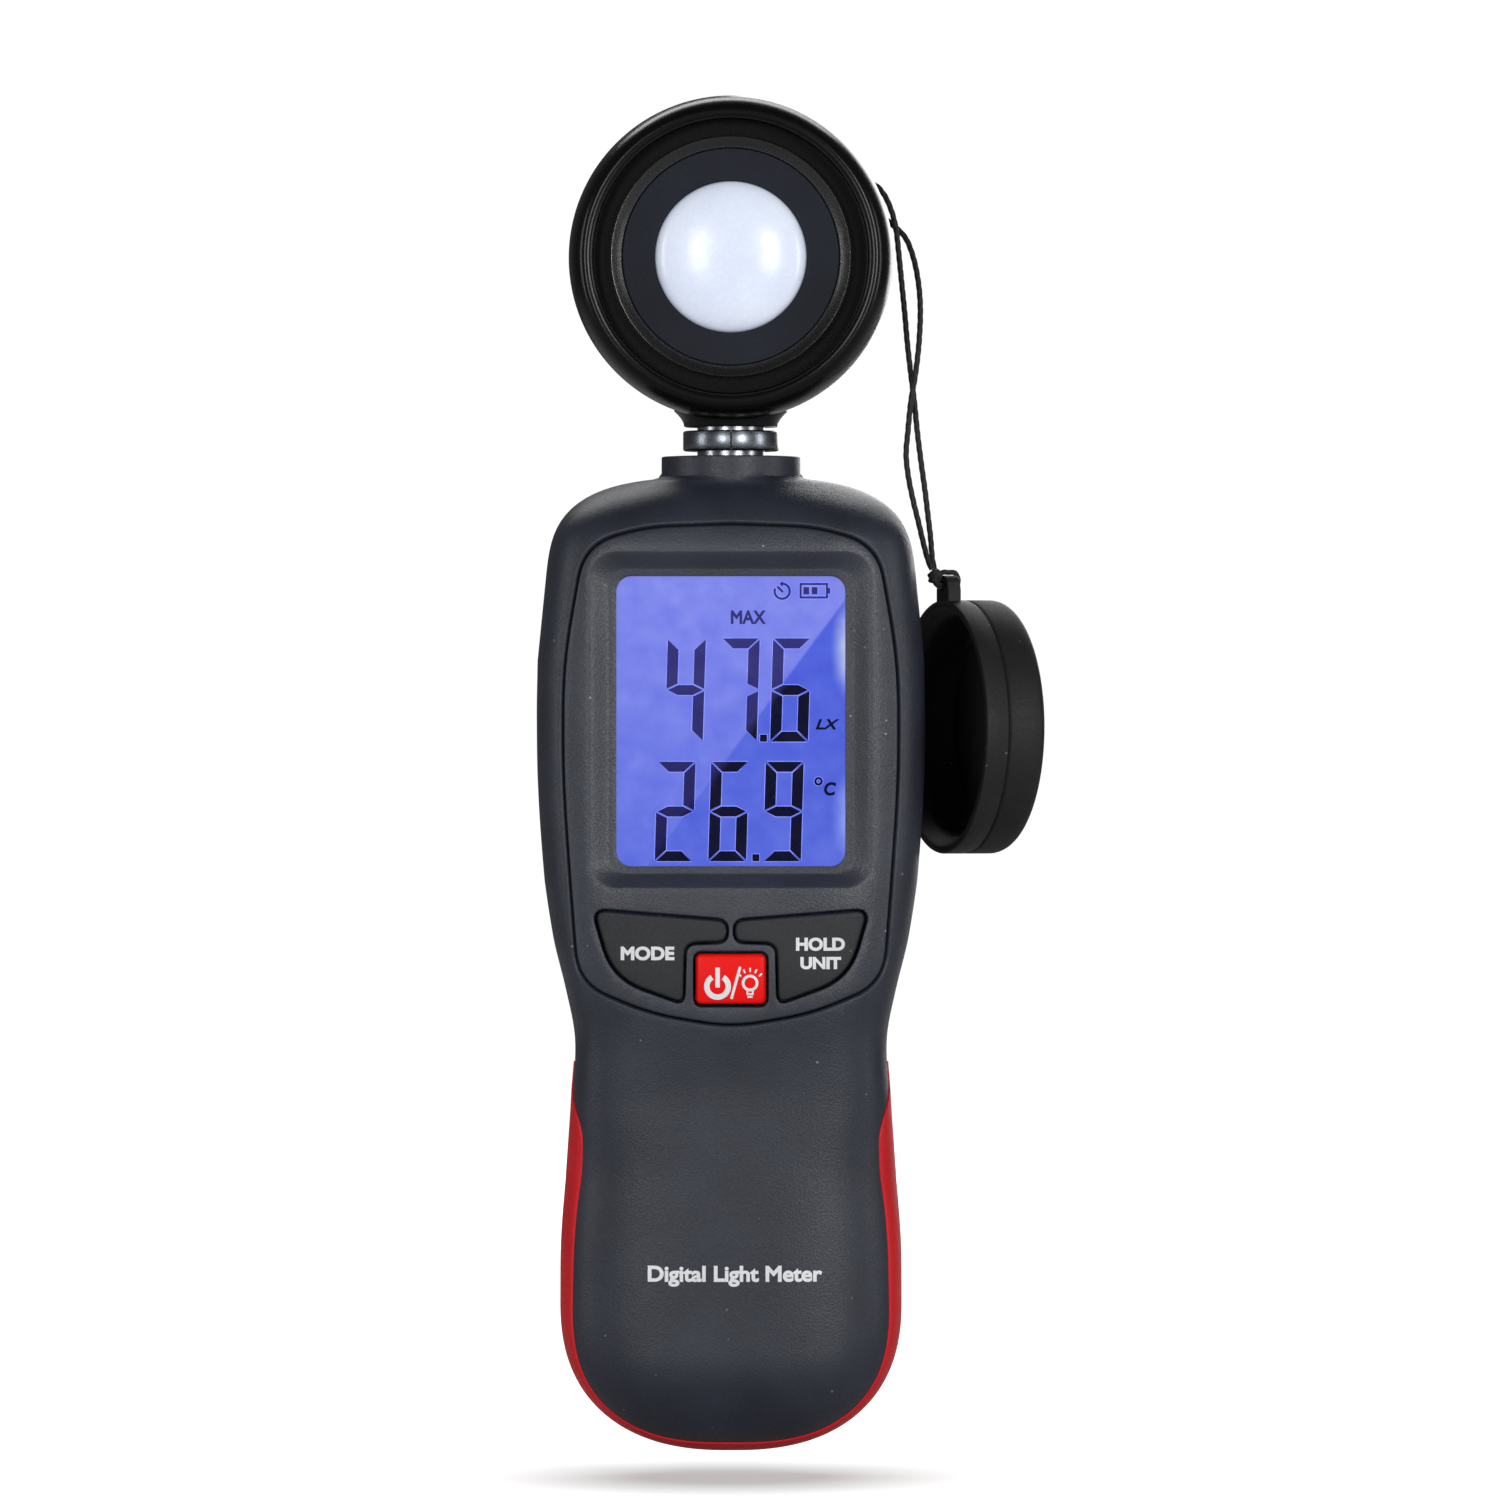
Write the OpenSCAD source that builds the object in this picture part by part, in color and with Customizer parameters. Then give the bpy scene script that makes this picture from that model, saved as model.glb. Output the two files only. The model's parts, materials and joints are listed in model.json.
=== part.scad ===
// Handheld light meter: moulded body with a swivelling round sensor head and a corded lens cap.
// Millimetres. +Z runs up the meter, the display faces -Y, and the origin is the mouth of the
// tripod socket in the flat back.

/* [Body] */
// Half width at the widest part of the display end
body_half_w = 25.9; // [25.4:0.1:26.2]
// Depth from the flat back to the face
body_d = 31; // [30.6:0.1:31.4]
// Half width of the grip
grip_half_w = 22.6; // [22.2:0.1:23]
// Lowest point of the grip
body_bottom = -59.9; // [-60.4:0.1:-59.5]
// Height at which the neck ends
neck_top = 72.7; // [72.4:0.1:72.8]
// Wall thickness of the housings
wall = 2; // [1.8:0.1:2.2]

/* [Face] */
// Thickness of the face panel
panel_t = 2.6; // [2.4:0.1:2.8]
// Gap between the panel and the housing
panel_gap = 0.25; // [0.2:0.05:0.35]
// Half width of the display opening
window_half_w = 15.15; // [14.8:0.05:15.4]
// Lower edge of the display opening
window_z0 = 18; // [17.6:0.1:18.4]
// Upper edge of the display opening
window_z1 = 56.4; // [56:0.1:56.8]
// How far a key travels
key_travel = 0.8; // [0.6:0.05:0.8]

/* [Sensor head] */
// Outer radius of the head
head_r = 21.6; // [21.3:0.1:21.8]
// Height of the head's centre
head_z = 98.9; // [98.7:0.1:99.2]
// Radius of the white dome
dome_r = 10; // [9.6:0.1:10.2]
// Radius of the swivel shaft
shaft_r = 4.5; // [4.3:0.1:4.6]
// Radius of the chrome collar
collar_r = 6.4; // [6.2:0.1:6.6]

/* [Lens cap] */
// Outer radius of the cap
cap_r = 17; // [16.8:0.1:17.2]
// Depth of the cap
cap_d = 8.8; // [8.6:0.1:9]
// Height of the hanging cap's centre
cap_z = 36.5; // [36:0.1:37]
// Thickness of the cord
cord_d = 0.75; // [0.7:0.01:0.78]

/* [Mount] */
// Radius of the tripod socket's thread
socket_r = 2.55; // [2.5:0.01:2.6]
// Depth of the tripod socket
socket_depth = 7; // [6.5:0.1:7.2]

/* [Hidden] */
$fn = 48;

axis_y = -body_d / 2;
half_d = body_d / 2;
face_y = -body_d;
panel_back = face_y + panel_t;
neck_r = 9.25;

// Display stack, back to front
board_y = -20.3;
board_t = 1.6;
board_front = board_y - board_t;
lcd_back = -24.6;
lcd_t = 2.2;
light_back = -22.2;

// Battery tray
cell_r = 5.25;
cell_len = 44.5;
cell_z0 = -52.3;
cell_y = -7.9;
cell_pitch = 11;
tray_z0 = -55;
tray_z1 = -6.7;
cover_t = 1.8;
cover_z0 = -54;
cover_z1 = -8;
cover_half_w = 14.2;
// Lips that hold the cover in its channel
lip_w = 15.4;
lip_t = 0.7;
lip_z0 = cover_z0 + 10;
lip_z1 = cover_z1 - 3;
cover_travel = 6;

// Screws of the housing: x, z
screw_at = [[-17.4, 60.5], [17.4, 60.5], [-17.6, -2.5], [17.6, -2.5]];

// Lens cap, hanging mouth inwards beside the body
cap_turn = 20;
cap_x = 28.2;
cap_y = -10.5;
// Lug of the cap: its eye stands this far above the rim
lug_eye = 1.9;
lug_r = 1.4;
lug_w = 4.4;
lug_t = 1.9;

// Lanyard pin on the back of the head, and the cord's loop round it
pin_x = 17.8;
pin_z = 107.7;
pin_r = 1.1;
pin_tail_r = 0.8;

// ---- small helpers -------------------------------------------------------------------------

function falloff(t, p) = pow(max(0, 1 - pow(max(0, min(1, t)), p)), 1 / p);
function ease(t) = let (u = max(0, min(1, t))) u * u * (3 - 2 * u);
function sgn(v) = v < 0 ? -1 : 1;

// Smooth curve through a list of points, span i, at t from 0 to 1
function through(p, i, t) = let (
    n = len(p) - 1,
    a = p[max(0, i - 1)], b = p[i], c = p[min(n, i + 1)], d = p[min(n, i + 2)]
) 0.5 * (2 * b + (c - a) * t + (2 * a - 5 * b + 4 * c - d) * t * t
    + (3 * b - 3 * c + d - a) * t * t * t);

// An outline with its corners rounded: each entry is [x, z, radius]
function rounded(pts, steps = 5) = let (n = len(pts)) [
    for (i = [0:n - 1]) let (
        p = [pts[i][0], pts[i][1]],
        a = [pts[(i + n - 1) % n][0], pts[(i + n - 1) % n][1]] - p,
        b = [pts[(i + 1) % n][0], pts[(i + 1) % n][1]] - p,
        q = p + a / norm(a) * pts[i][2],
        r = p + b / norm(b) * pts[i][2]
    ) for (k = [0:steps]) let (t = k / steps)
        (1 - t) * (1 - t) * q + 2 * t * (1 - t) * p + t * t * r
];

function box_outline(w, z0, z1, r) = rounded([[-w, z0, r], [w, z0, r], [w, z1, r], [-w, z1, r]]);

// A flat outline in X and Z, given thickness along Y
module plate(y_front, y_back) {
    translate([0, y_back, 0]) rotate([90, 0, 0]) linear_extrude(y_back - y_front) children();
}

// A round part on an axis along Y, from y_front to y_back
module disc_y(x, z, r, y_front, y_back) {
    translate([x, y_back, z]) rotate([90, 0, 0]) cylinder(r = r, h = y_back - y_front);
}

module block(x0, x1, y0, y1, z0, z1) {
    translate([x0, y0, z0]) cube([x1 - x0, y1 - y0, z1 - z0]);
}

// A profile of radius and depth in front of the back plane, turned about the head's axis
module head_turned() {
    translate([0, 0, head_z]) rotate([90, 0, 0]) rotate_extrude($fn = 96) children();
}

// A profile of radius and height, turned about the neck's axis
module neck_turned() {
    translate([0, axis_y, 0]) rotate_extrude($fn = 72) children();
}

// Hands a moulded form's solids over in one mesh
module moulded() {
    resize([0, 0, 0]) children();
}

// ---- the moulded outline of the body -------------------------------------------------------

// Half width of the body at some heights, from the grip up to the display
waist = [
    [-40, grip_half_w], [-32, grip_half_w - 0.1], [-24, 21.9], [-12, 21.1], [-5, 20.8],
    [1, 21.9], [8, 23.6], [16, 24.85], [28, 25.7], [38, body_half_w], [45, body_half_w - 0.1]
];
shoulder_z = 56;
shoulder_top = 69.8;
grip_end = -40;

function waist_at(z) = let (
    i = max([for (k = [0:len(waist) - 2]) z >= waist[k][0] ? k : 0]),
    t = (z - waist[i][0]) / (waist[i + 1][0] - waist[i][0])
) through([for (p = waist) p[1]], i, t);

function half_w(z) =
    z <= grip_end ? grip_half_w * falloff((grip_end - z) / (grip_end - body_bottom), 2.4)
    : z < 45 ? waist_at(z)
    : max(neck_r, (body_half_w - 0.1 - 0.1 * (z - 45))
        * falloff((z - shoulder_z) / (shoulder_top - shoulder_z), 3.3));

// Depth in front of and behind the neck's axis
function front_d(z) =
    z < -46 ? (half_d - 2) * falloff((-46 - z) / (-46 - body_bottom), 2.3)
    : z < 6 ? half_d - 2 * (1 - ease((z + 14) / 20))
    : max(neck_r, half_d * falloff((z - 53) / (shoulder_top - 53), 3));
function back_d(z) =
    z < 0 ? half_d * falloff((-51 - z) / (-51 - body_bottom), 2.3)
    : max(neck_r, half_d * falloff((z - 55) / (shoulder_top - 55), 3));

// How square the section is behind and in front: 2 is an ellipse, at the neck
function back_square(z) = 4.2 - 2.2 * ease((z - 62) / 7.6);
function front_square(z) = back_square(z) - 1.2 * ease((-8 - z) / 16);

sides = 44;
levels = concat(
    [for (a = [84, 74, 64, 54, 44, 34, 23, 12]) grip_end - (grip_end - body_bottom) * sin(a)],
    [for (z = [-40:5:-15]) z],
    [-11, -8, -5, -2, 1, 5, 9, 14, 20, 28, 38, 46, 53, 57.5, 60.5, 63, 65, 66.7, 68, 69, 69.6],
    [70, neck_top - 0.4, neck_top]
);

// One ring of the body, moved in or out by grow
function body_ring(z_at, z, grow) = [
    for (i = [0:sides - 1]) let (
        a = 360 * (i + 0.5) / sides,
        c = cos(a), s = sin(a),
        square = s < 0 ? front_square(z) : back_square(z),
        w = max(0.3, half_w(z) + grow),
        d = s < 0 ? max(0.3, front_d(z) + grow) : max(0.3, back_d(z) + grow),
        fuller = s < 0 ? 1 : 1 + 0.06 * min(1, (back_d(z) - neck_r) / 6),
        y = d * min(1, fuller * pow(abs(s), 2 / square))
    ) [w * sgn(c) * pow(abs(c), 2 / square), axis_y + sgn(s) * y, z_at]
];

// The body's form, grown or shrunk all round and cut short at both ends
module body_form(grow = 0, cut_low = 0, cut_high = 0) {
    lo = body_bottom + cut_low;
    hi = neck_top - cut_high;
    z0 = levels[0];
    rings = [for (z = levels)
        body_ring(lo + (z - z0) * (hi - lo) / (neck_top - z0), z, grow)];
    count = len(rings);
    polyhedron(
        points = [for (r = rings) each r],
        faces = concat(
            [[for (i = [0:sides - 1]) i]],
            [for (k = [0:count - 2], i = [0:sides - 1]) let (
                a = k * sides + i, b = k * sides + (i + 1) % sides
            ) each [[a, a + sides, b + sides], [a, b + sides, b]]],
            [[for (i = [sides - 1:-1:0]) (count - 1) * sides + i]]
        ),
        convexity = 6
    );
}

// Side view of the rubber band round the grip: y, z
band_side = rounded([
    [axis_y, -7.7, 0.5], [-23.6, -15, 2], [-22.8, -26, 3], [-22.8, -50, 6], [-21, -62, 0.5],
    [-9, -62, 0.5], [-8, -50, 6], [-8, -26, 3], [-7.6, -15, 2]
]);

module band_zone(grow = 0) {
    rotate([90, 0, 90]) translate([0, 0, -40]) linear_extrude(80)
        offset(delta = grow) polygon(band_side);
}

// ---- face outlines -------------------------------------------------------------------------

panel_outline = rounded([
    [0, 63.3, 1], [11, 62.9, 3], [19.4, 60.6, 4.5], [22.2, 45, 6], [22.3, 30, 7],
    [21.1, 13, 5], [20.3, 2.6, 4.2], [10.5, -1.4, 3.6], [0, -3.2, 4],
    [-10.5, -1.4, 3.6], [-20.3, 2.6, 4.2], [-21.1, 13, 5], [-22.3, 30, 7], [-22.2, 45, 6],
    [-19.4, 60.6, 4.5], [-11, 62.9, 3]
]);

// Left key, running round the corner of the power key
key_outline = rounded([
    [-18.2, 12.2, 1.8], [-0.5, 10.8, 1.3], [-0.6, 8.1, 1.1], [-6.1, 7.9, 1.6],
    [-6.3, -0.1, 1.2], [-15.6, 3.3, 4.2]
]);
function mirrored(pts) = [for (i = [len(pts) - 1:-1:0]) [-pts[i][0], pts[i][1]]];
power_outline = box_outline(4.7, -0.3, 6.5, 0.9);
recess_half_w = 18.4;
recess_y = face_y + 2;

// Switches under the keys: x, z
mode_at = [-11, 6.6];
power_at = [0, 3];
plunger_back = -24;

// ---- housings ------------------------------------------------------------------------------

module screw_paths() {
    for (p = screw_at) {
        disc_y(p[0], p[1], 1.4, -15.6, 1);
        disc_y(p[0], p[1], 2.7, -7.9, 1);
        disc_y(p[0], p[1], 1.25, -20.9, -15.4);
    }
}

// The body's whole wall, with the bosses and walls that carry the parts inside
module housing_wall() {
    difference() {
        body_form();
        body_form(-wall, wall, 4);
    }
    intersection() {
        body_form(-0.9, 0.9, 0.9);
        union() {
            for (p = screw_at) disc_y(p[0], p[1], 3.1, board_front + 0.1, -5.5);
            disc_y(0, 0, 7, -9.6, 1);
            // Tray of the cells
            block(-21, 21, -14.9, -13.5, tray_z0 - 1.3, tray_z1 + 1.3);
            block(-21, 21, -14, 1, tray_z1, tray_z1 + 1.3);
            block(-21, 21, -14, 1, tray_z0 - 1.3, tray_z0);
            // Collar of the neck bushing
            translate([0, axis_y, 62]) cylinder(r = 8.8, h = 9);
        }
    }
}

// Where the panel lies: a flat slab in the middle, and the body's own curve at the sides
module panel_space(gap) {
    intersection() {
        plate(face_y - 2, -22) offset(delta = gap) polygon(panel_outline);
        union() {
            block(-40, 40, face_y - 2, panel_back + gap / 2, -10, 70);
            difference() {
                body_form(2);
                body_form(-1.3 - gap / 2);
            }
        }
    }
}

module housing() {
    difference() {
        housing_wall();
        // Neck bushing and shaft
        translate([0, axis_y, 60]) cylinder(r = 6.6, h = 20);
        screw_paths();
        // Cells
        intersection() {
            block(-17, 17, -13.4, -2.6, tray_z0, tray_z1);
            body_form(-1.9, 1.2);
        }
        // Cover, the channel of its lips and the way in
        block(-cover_half_w - 0.2, cover_half_w + 0.2, -cover_t - 0.1, 1, -62, cover_z1 + 0.2);
        block(-lip_w - 0.2, lip_w + 0.2, -cover_t - 0.1, -cover_t + lip_t + 0.1,
            lip_z0 - cover_travel - 0.2, lip_z1 + 0.2);
        block(-13.6, 13.6, -13.2, 1, cover_z0 + 2.4, cover_z1 - 1);
        // Leads of the cells
        for (x = [-4, 4]) translate([x, -12, tray_z1 - 1]) cylinder(r = 1, h = 4);
        // Tripod insert
        disc_y(0, 0, 4.65, -8.1, 1);
        // Face panel
        panel_space(panel_gap);
        plate(face_y - 2, board_front - 0.4) offset(delta = -2.4) polygon(panel_outline);
        // Rubber band
        intersection() {
            band_zone(0);
            difference() {
                body_form(2);
                body_form(-1.2, 1.2);
            }
        }
    }
}

module front_housing() {
    color([0.20, 0.21, 0.24]) moulded() intersection() {
        housing();
        block(-40, 40, -50, axis_y - 0.03, -70, 80);
    }
}

module rear_housing() {
    color([0.19, 0.20, 0.23]) moulded() intersection() {
        housing();
        block(-40, 40, axis_y + 0.03, 10, -70, 80);
    }
}

module grip_overmold() {
    color([0.78, 0.08, 0.12]) moulded() intersection() {
        band_zone(-0.05);
        difference() {
            body_form(0.2, -0.2);
            body_form(-1.15, 1.15);
        }
    }
}

module face_panel() {
    color([0.29, 0.31, 0.36]) moulded() difference() {
        intersection() {
            body_form();
            panel_space(0);
        }
        // Bevelled recess round the display
        hull() {
            plate(face_y - 0.6, face_y - 0.5)
                polygon(box_outline(recess_half_w + 0.4, 15, 59.8, 3.4), $fn = 32);
            plate(recess_y - 0.1, recess_y)
                polygon(box_outline(window_half_w + 0.9, window_z0 - 0.9, window_z1 + 0.9, 2.4));
        }
        plate(face_y - 1, panel_back + 1)
            polygon(box_outline(window_half_w, window_z0, window_z1, 2));
        // Keys
        plate(face_y - 1, panel_back + 1) offset(delta = 0.25) polygon(key_outline);
        plate(face_y - 1, panel_back + 1) offset(delta = 0.25) polygon(mirrored(key_outline));
        plate(face_y - 1, panel_back + 1) offset(delta = 0.25) polygon(power_outline);
    }
}

module display_window() {
    color([0.75, 0.8, 0.95, 0.4]) {
        plate(panel_back + 0.05, panel_back + 1.2) polygon(box_outline(16.9, 16.4, 58, 1.5));
        plate(recess_y + 0.1, panel_back + 0.1)
            polygon(box_outline(window_half_w - 0.1, window_z0 + 0.1, window_z1 - 0.1, 2));
    }
}

module housing_screws() {
    color([0.6, 0.6, 0.62]) for (p = screw_at) {
        difference() {
            disc_y(p[0], p[1], 2.4, -7.85, -6.1);
            block(p[0] - 1.6, p[0] + 1.6, -6.8, -6, p[1] - 0.3, p[1] + 0.3);
            block(p[0] - 0.3, p[0] + 0.3, -6.8, -6, p[1] - 1.6, p[1] + 1.6);
        }
        disc_y(p[0], p[1], 1.2, -20.5, -7.85);
    }
}

module tripod_insert() {
    color([0.8, 0.66, 0.32]) difference() {
        disc_y(0, 0, 4.6, -8, 0);
        disc_y(0, 0, socket_r, -socket_depth, 1);
    }
}

// ---- power ---------------------------------------------------------------------------------

module batteries() {
    color([0.85, 0.72, 0.25]) for (k = [-1:1]) translate([k * cell_pitch, cell_y, cell_z0]) {
        flip = k == 0 ? 180 : 0;
        translate([0, 0, cell_len / 2]) rotate([0, flip, 0]) translate([0, 0, -cell_len / 2])
            rotate_extrude() polygon([
                [0, 0], [3.8, 0], [3.8, 0.3], [4.9, 0.3], [cell_r, 0.8], [cell_r, cell_len - 1.8],
                [4.8, cell_len - 1.2], [1.9, cell_len - 1.2], [1.9, cell_len], [0, cell_len]
            ]);
    }
}

// One coil spring standing on z0, its wire swept along a helix
module coil(x, z0, z1, r, turns) {
    steps = turns * 10;
    wire = 0.3;
    ring = 6;
    pts = [for (k = [0:steps], j = [0:ring - 1]) let (
        a = 360 * turns * k / steps, b = 360 * j / ring,
        rr = r + wire * cos(b), z = z0 + wire + (z1 - z0 - 2 * wire) * k / steps
    ) [x + rr * cos(a), cell_y + rr * sin(a), z + wire * sin(b)]];
    polyhedron(points = pts, faces = concat(
        [[for (j = [0:ring - 1]) j]],
        [for (k = [0:steps - 1], j = [0:ring - 1]) let (
            a = k * ring + j, b = k * ring + (j + 1) % ring
        ) each [[a, a + ring, b + ring], [a, b + ring, b]]],
        [[for (j = [ring - 1:-1:0]) steps * ring + j]]
    ));
}

module battery_springs() {
    color([0.75, 0.76, 0.78]) for (k = [-1:1])
        coil(k * cell_pitch, k == 0 ? cell_z0 + cell_len + 0.05 : tray_z0 + 0.4,
            k == 0 ? tray_z1 - 0.4 : cell_z0 - 0.05, k == 0 ? 1.2 : 1.9, k == 0 ? 1 : 2);
}

module battery_contacts() {
    color([0.75, 0.76, 0.78]) {
        for (x = [-11, 11]) block(x - 4, x + 4, -11.7, -3.7, tray_z1 - 0.35, tray_z1 - 0.05);
        block(-3.6, 3.6, -11.7, -3.7, tray_z1 - 0.35, tray_z1 - 0.05);
        block(-12.5, 4, -11.7, -6.4, tray_z0 + 0.05, tray_z0 + 0.35);
        block(7, 12.5, -11.7, -6.4, tray_z0 + 0.05, tray_z0 + 0.35);
    }
}

module battery_leads() {
    color([0.7, 0.1, 0.1]) for (x = [-4, 4])
        translate([x, -12, tray_z1 + 0.1]) cylinder(r = 0.6, h = 8, $fn = 24);
}

module battery_cover() {
    color([0.19, 0.20, 0.23]) moulded() {
        difference() {
            intersection() {
                body_form();
                plate(-cover_t, 1) polygon(box_outline(cover_half_w, cover_z0, cover_z1, 1.2));
            }
            for (k = [0:4]) block(-5, 5, -0.5, 1, -17.4 + k * 1.6, -16.6 + k * 1.6);
        }
        block(-lip_w, lip_w, -cover_t, -cover_t + lip_t, lip_z0, lip_z1);
    }
}

// ---- board and display ---------------------------------------------------------------------

module main_board() {
    color([0.1, 0.35, 0.2]) difference() {
        plate(board_front, board_y) polygon([
            [-14, -1.5], [14, -1.5], [14, 4.6], [18.6, 4.6], [18.6, 56], [-18.6, 56],
            [-18.6, 4.6], [-14, 4.6]
        ]);
        for (s = [-1, 1]) disc_y(s * 16.4, 50, 1.1, board_front - 1, board_y + 1);
    }
}

module controller_chip() {
    color([0.08, 0.08, 0.09]) {
        block(-6, 6, board_y, board_y + 1.6, 28, 40);
        for (k = [0:11]) for (s = [-1, 1])
            block(s < 0 ? -7.2 : 5.9, s < 0 ? -5.9 : 7.2, board_y, board_y + 0.5,
                28.7 + k * 0.92, 29.1 + k * 0.92);
    }
}

module timing_crystal() {
    color([0.75, 0.76, 0.78])
        plate(board_y, board_y + 3) polygon(box_outline(4.6, 44, 47.6, 1.8));
}

module temperature_sensor() {
    color([0.1, 0.1, 0.1]) {
        block(12, 15, board_y, board_y + 1.2, 8, 11);
        translate([13.5, board_y + 1.1, 9.5]) rotate([-90, 0, 0])
            cylinder(r1 = 1.2, r2 = 0.8, h = 1.6, $fn = 24);
    }
}

module lead_socket() {
    color([0.9, 0.88, 0.8]) difference() {
        block(-4, 4, board_y, -12.9, 52.4, 55.6);
        block(-3.2, 3.2, -19, -12, 53.2, 54.8);
    }
}

module one_switch(x, z) {
    difference() {
        block(x - 3, x + 3, -24.9, board_front, z - 3, z + 3);
        disc_y(x, z, 1.66, -26, plunger_back + key_travel + 0.3);
    }
}

module key_switches() {
    color([0.15, 0.15, 0.16]) {
        one_switch(mode_at[0], mode_at[1]);
        one_switch(-mode_at[0], mode_at[1]);
        one_switch(power_at[0], power_at[1]);
    }
}

module lcd_glass() {
    color([0.45, 0.47, 0.9])
        plate(lcd_back - lcd_t, lcd_back) polygon(box_outline(16.4, 13.9, 57.4, 0.4));
}

module backlight_panel() {
    color([0.75, 0.8, 1])
        plate(light_back - 2.2, light_back) polygon(box_outline(16.4, 16.8, 57.4, 0.4));
}

module lcd_holder() {
    color([0.9, 0.9, 0.9]) difference() {
        plate(-26.7, board_front - 0.02) polygon(rounded([
            [-17.9, 16.5, 0.6], [17.9, 16.5, 0.6], [17.9, 58.8, 3.4], [-17.9, 58.8, 3.4]
        ]));
        plate(-27, light_back + 0.02) polygon(box_outline(16.5, 16.4, 57.5, 0.3));
        plate(-30, lcd_back + 0.1) polygon(box_outline(16.5, 10, 57.5, 0.3));
        block(-14, 14, light_back - 1, -20, 20, 54);
    }
}

module contact_strip() {
    color([0.85, 0.5, 0.5]) block(-15, 15, lcd_back, board_front, 14.2, 15.8);
}

// ---- neck ----------------------------------------------------------------------------------

module neck_bushing() {
    color([0.08, 0.08, 0.09]) {
        neck_turned() polygon([
            [shaft_r + 0.05, 62.4], [6.5, 62.4], [6.5, neck_top - 0.6], [6, neck_top - 0.6],
            [6, neck_top - 0.2], [shaft_r + 0.05, neck_top - 0.2]
        ]);
        // Stop lug at the back
        intersection() {
            translate([0, axis_y, 60.6]) difference() {
                cylinder(r = 6.4, h = 2);
                translate([0, 0, -1]) cylinder(r = shaft_r + 0.3, h = 4);
            }
            translate([0, axis_y, 60]) linear_extrude(3)
                polygon([[0, 0], [-8, 12.8], [8, 12.8]]);
        }
    }
}

module swivel_shaft() {
    color([0.82, 0.83, 0.85]) neck_turned() polygon([
        [3, 57.6], [shaft_r, 57.6], [shaft_r, 58.4], [4, 58.4], [4, 59.2], [shaft_r, 59.2],
        [shaft_r, 82.6], [5.6, 82.6], [5.6, 84], [3, 84]
    ]);
}

module retaining_clip() {
    color([0.5, 0.5, 0.52]) translate([0, axis_y, 58.45]) difference() {
        cylinder(r = 5.6, h = 0.7);
        translate([0, 0, -1]) cylinder(r = 4.05, h = 3);
        translate([-1.6, -8, -1]) cube([3.2, 8, 3]);
    }
}

module stop_washer() {
    color([0.75, 0.76, 0.78]) translate([0, axis_y, 60.7]) difference() {
        union() {
            cylinder(r = 4.7, h = 0.9);
            intersection() {
                cylinder(r = 6.3, h = 0.9);
                translate([-1.1, -8, 0]) cube([2.2, 8, 0.9]);
            }
        }
        translate([0, 0, -1]) cylinder(r = shaft_r + 0.02, h = 3);
    }
}

module friction_washer() {
    color([0.9, 0.9, 0.86]) translate([0, axis_y, 59.2]) difference() {
        cylinder(r = 6.2, h = 0.5);
        translate([0, 0, -1]) cylinder(r = shaft_r + 0.05, h = 3);
    }
}

module neck_collar() {
    color([0.85, 0.86, 0.88]) difference() {
        neck_turned() polygon([
            [shaft_r + 0.05, 73.25], [6.2, 73.25], [collar_r, 73.5], [collar_r, 75.8],
            [6.2, 76], [shaft_r + 0.05, 76]
        ]);
        block(-0.12, 0.12, axis_y - 10, axis_y, 70, 80);
    }
}

// ---- sensor head ---------------------------------------------------------------------------

// Outside of the head, as radius and depth in front of the back plane
head_back = 5;
head_front = 27.5;
floor_d = 24;
recess_r = 18.1;

module head_outside() {
    head_turned() polygon(concat(
        [[0, head_back], [12, head_back]],
        [for (k = [1:5]) let (a = 18 * k) [12 + 5.2 * sin(a), head_back + 3 - 3 * cos(a)]],
        [for (k = [0:6]) let (t = k / 6) [17.3 + (head_r - 17.3) * pow(sin(90 * t), 0.8),
            9 + 12 * t]],
        [for (k = [1:8]) let (a = 90 - 11.25 * k) [19.2 + 2.4 * sin(a),
            21 + (head_front - 21) * cos(a)]],
        [[18.6, head_front - 0.35], [recess_r, head_front - 1], [0, head_front - 1]]
    ));
    // Foot on the neck's axis
    neck_turned() polygon(concat(
        [[0, 76.5], [6.2, 76.5], [6.5, 76.8]],
        [for (k = [1:6]) let (a = 12 * k) [6.5 + 5.5 * (1 - cos(a)), 76.8 + 5.6 * sin(a)]],
        [[10, 84], [0, 84]]
    ));
}

module head_hollow() {
    // Recess in front of the sensor's floor, the way through it, and the space behind
    head_turned() polygon([
        [0, floor_d], [recess_r, floor_d], [recess_r, 30], [0, 30]
    ]);
    head_turned() square([dome_r + 0.1, 25]);
    head_turned() polygon([
        [0, 7], [14.2, 7], [15.8, 10], [16.2, 20], [16.2, floor_d - 1.5], [0, floor_d - 1.5]
    ]);
    translate([0, axis_y, 70]) cylinder(r = shaft_r + 0.02, h = 14);
    translate([0, axis_y, 82.5]) cylinder(r = 5.7, h = 5);
}

// Wall at the back of the head, put back behind the way through
module head_back_wall() {
    head_turned() translate([0, head_back]) square([12, 2]);
}

// Screws and their posts, by angle from the top
head_screw_at = [0, 120, 240];
head_screw_r = 12.6;

module head_posts() {
    for (a = head_screw_at) disc_y(head_screw_r * sin(a), head_z + head_screw_r * cos(a), 2.2, -23, -6);
}

module head_shell() {
    difference() {
        union() {
            difference() {
                head_outside();
                head_hollow();
            }
            head_back_wall();
            head_posts();
        }
        for (a = head_screw_at) {
            disc_y(head_screw_r * sin(a), head_z + head_screw_r * cos(a), 1.05, -21, 0);
            disc_y(head_screw_r * sin(a), head_z + head_screw_r * cos(a), 2, -8, 0);
        }
    }
}

module head_front_shell() {
    color([0.09, 0.09, 0.1]) intersection() {
        head_shell();
        block(-30, 30, -40, axis_y - 0.02, 70, 130);
    }
}

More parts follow.
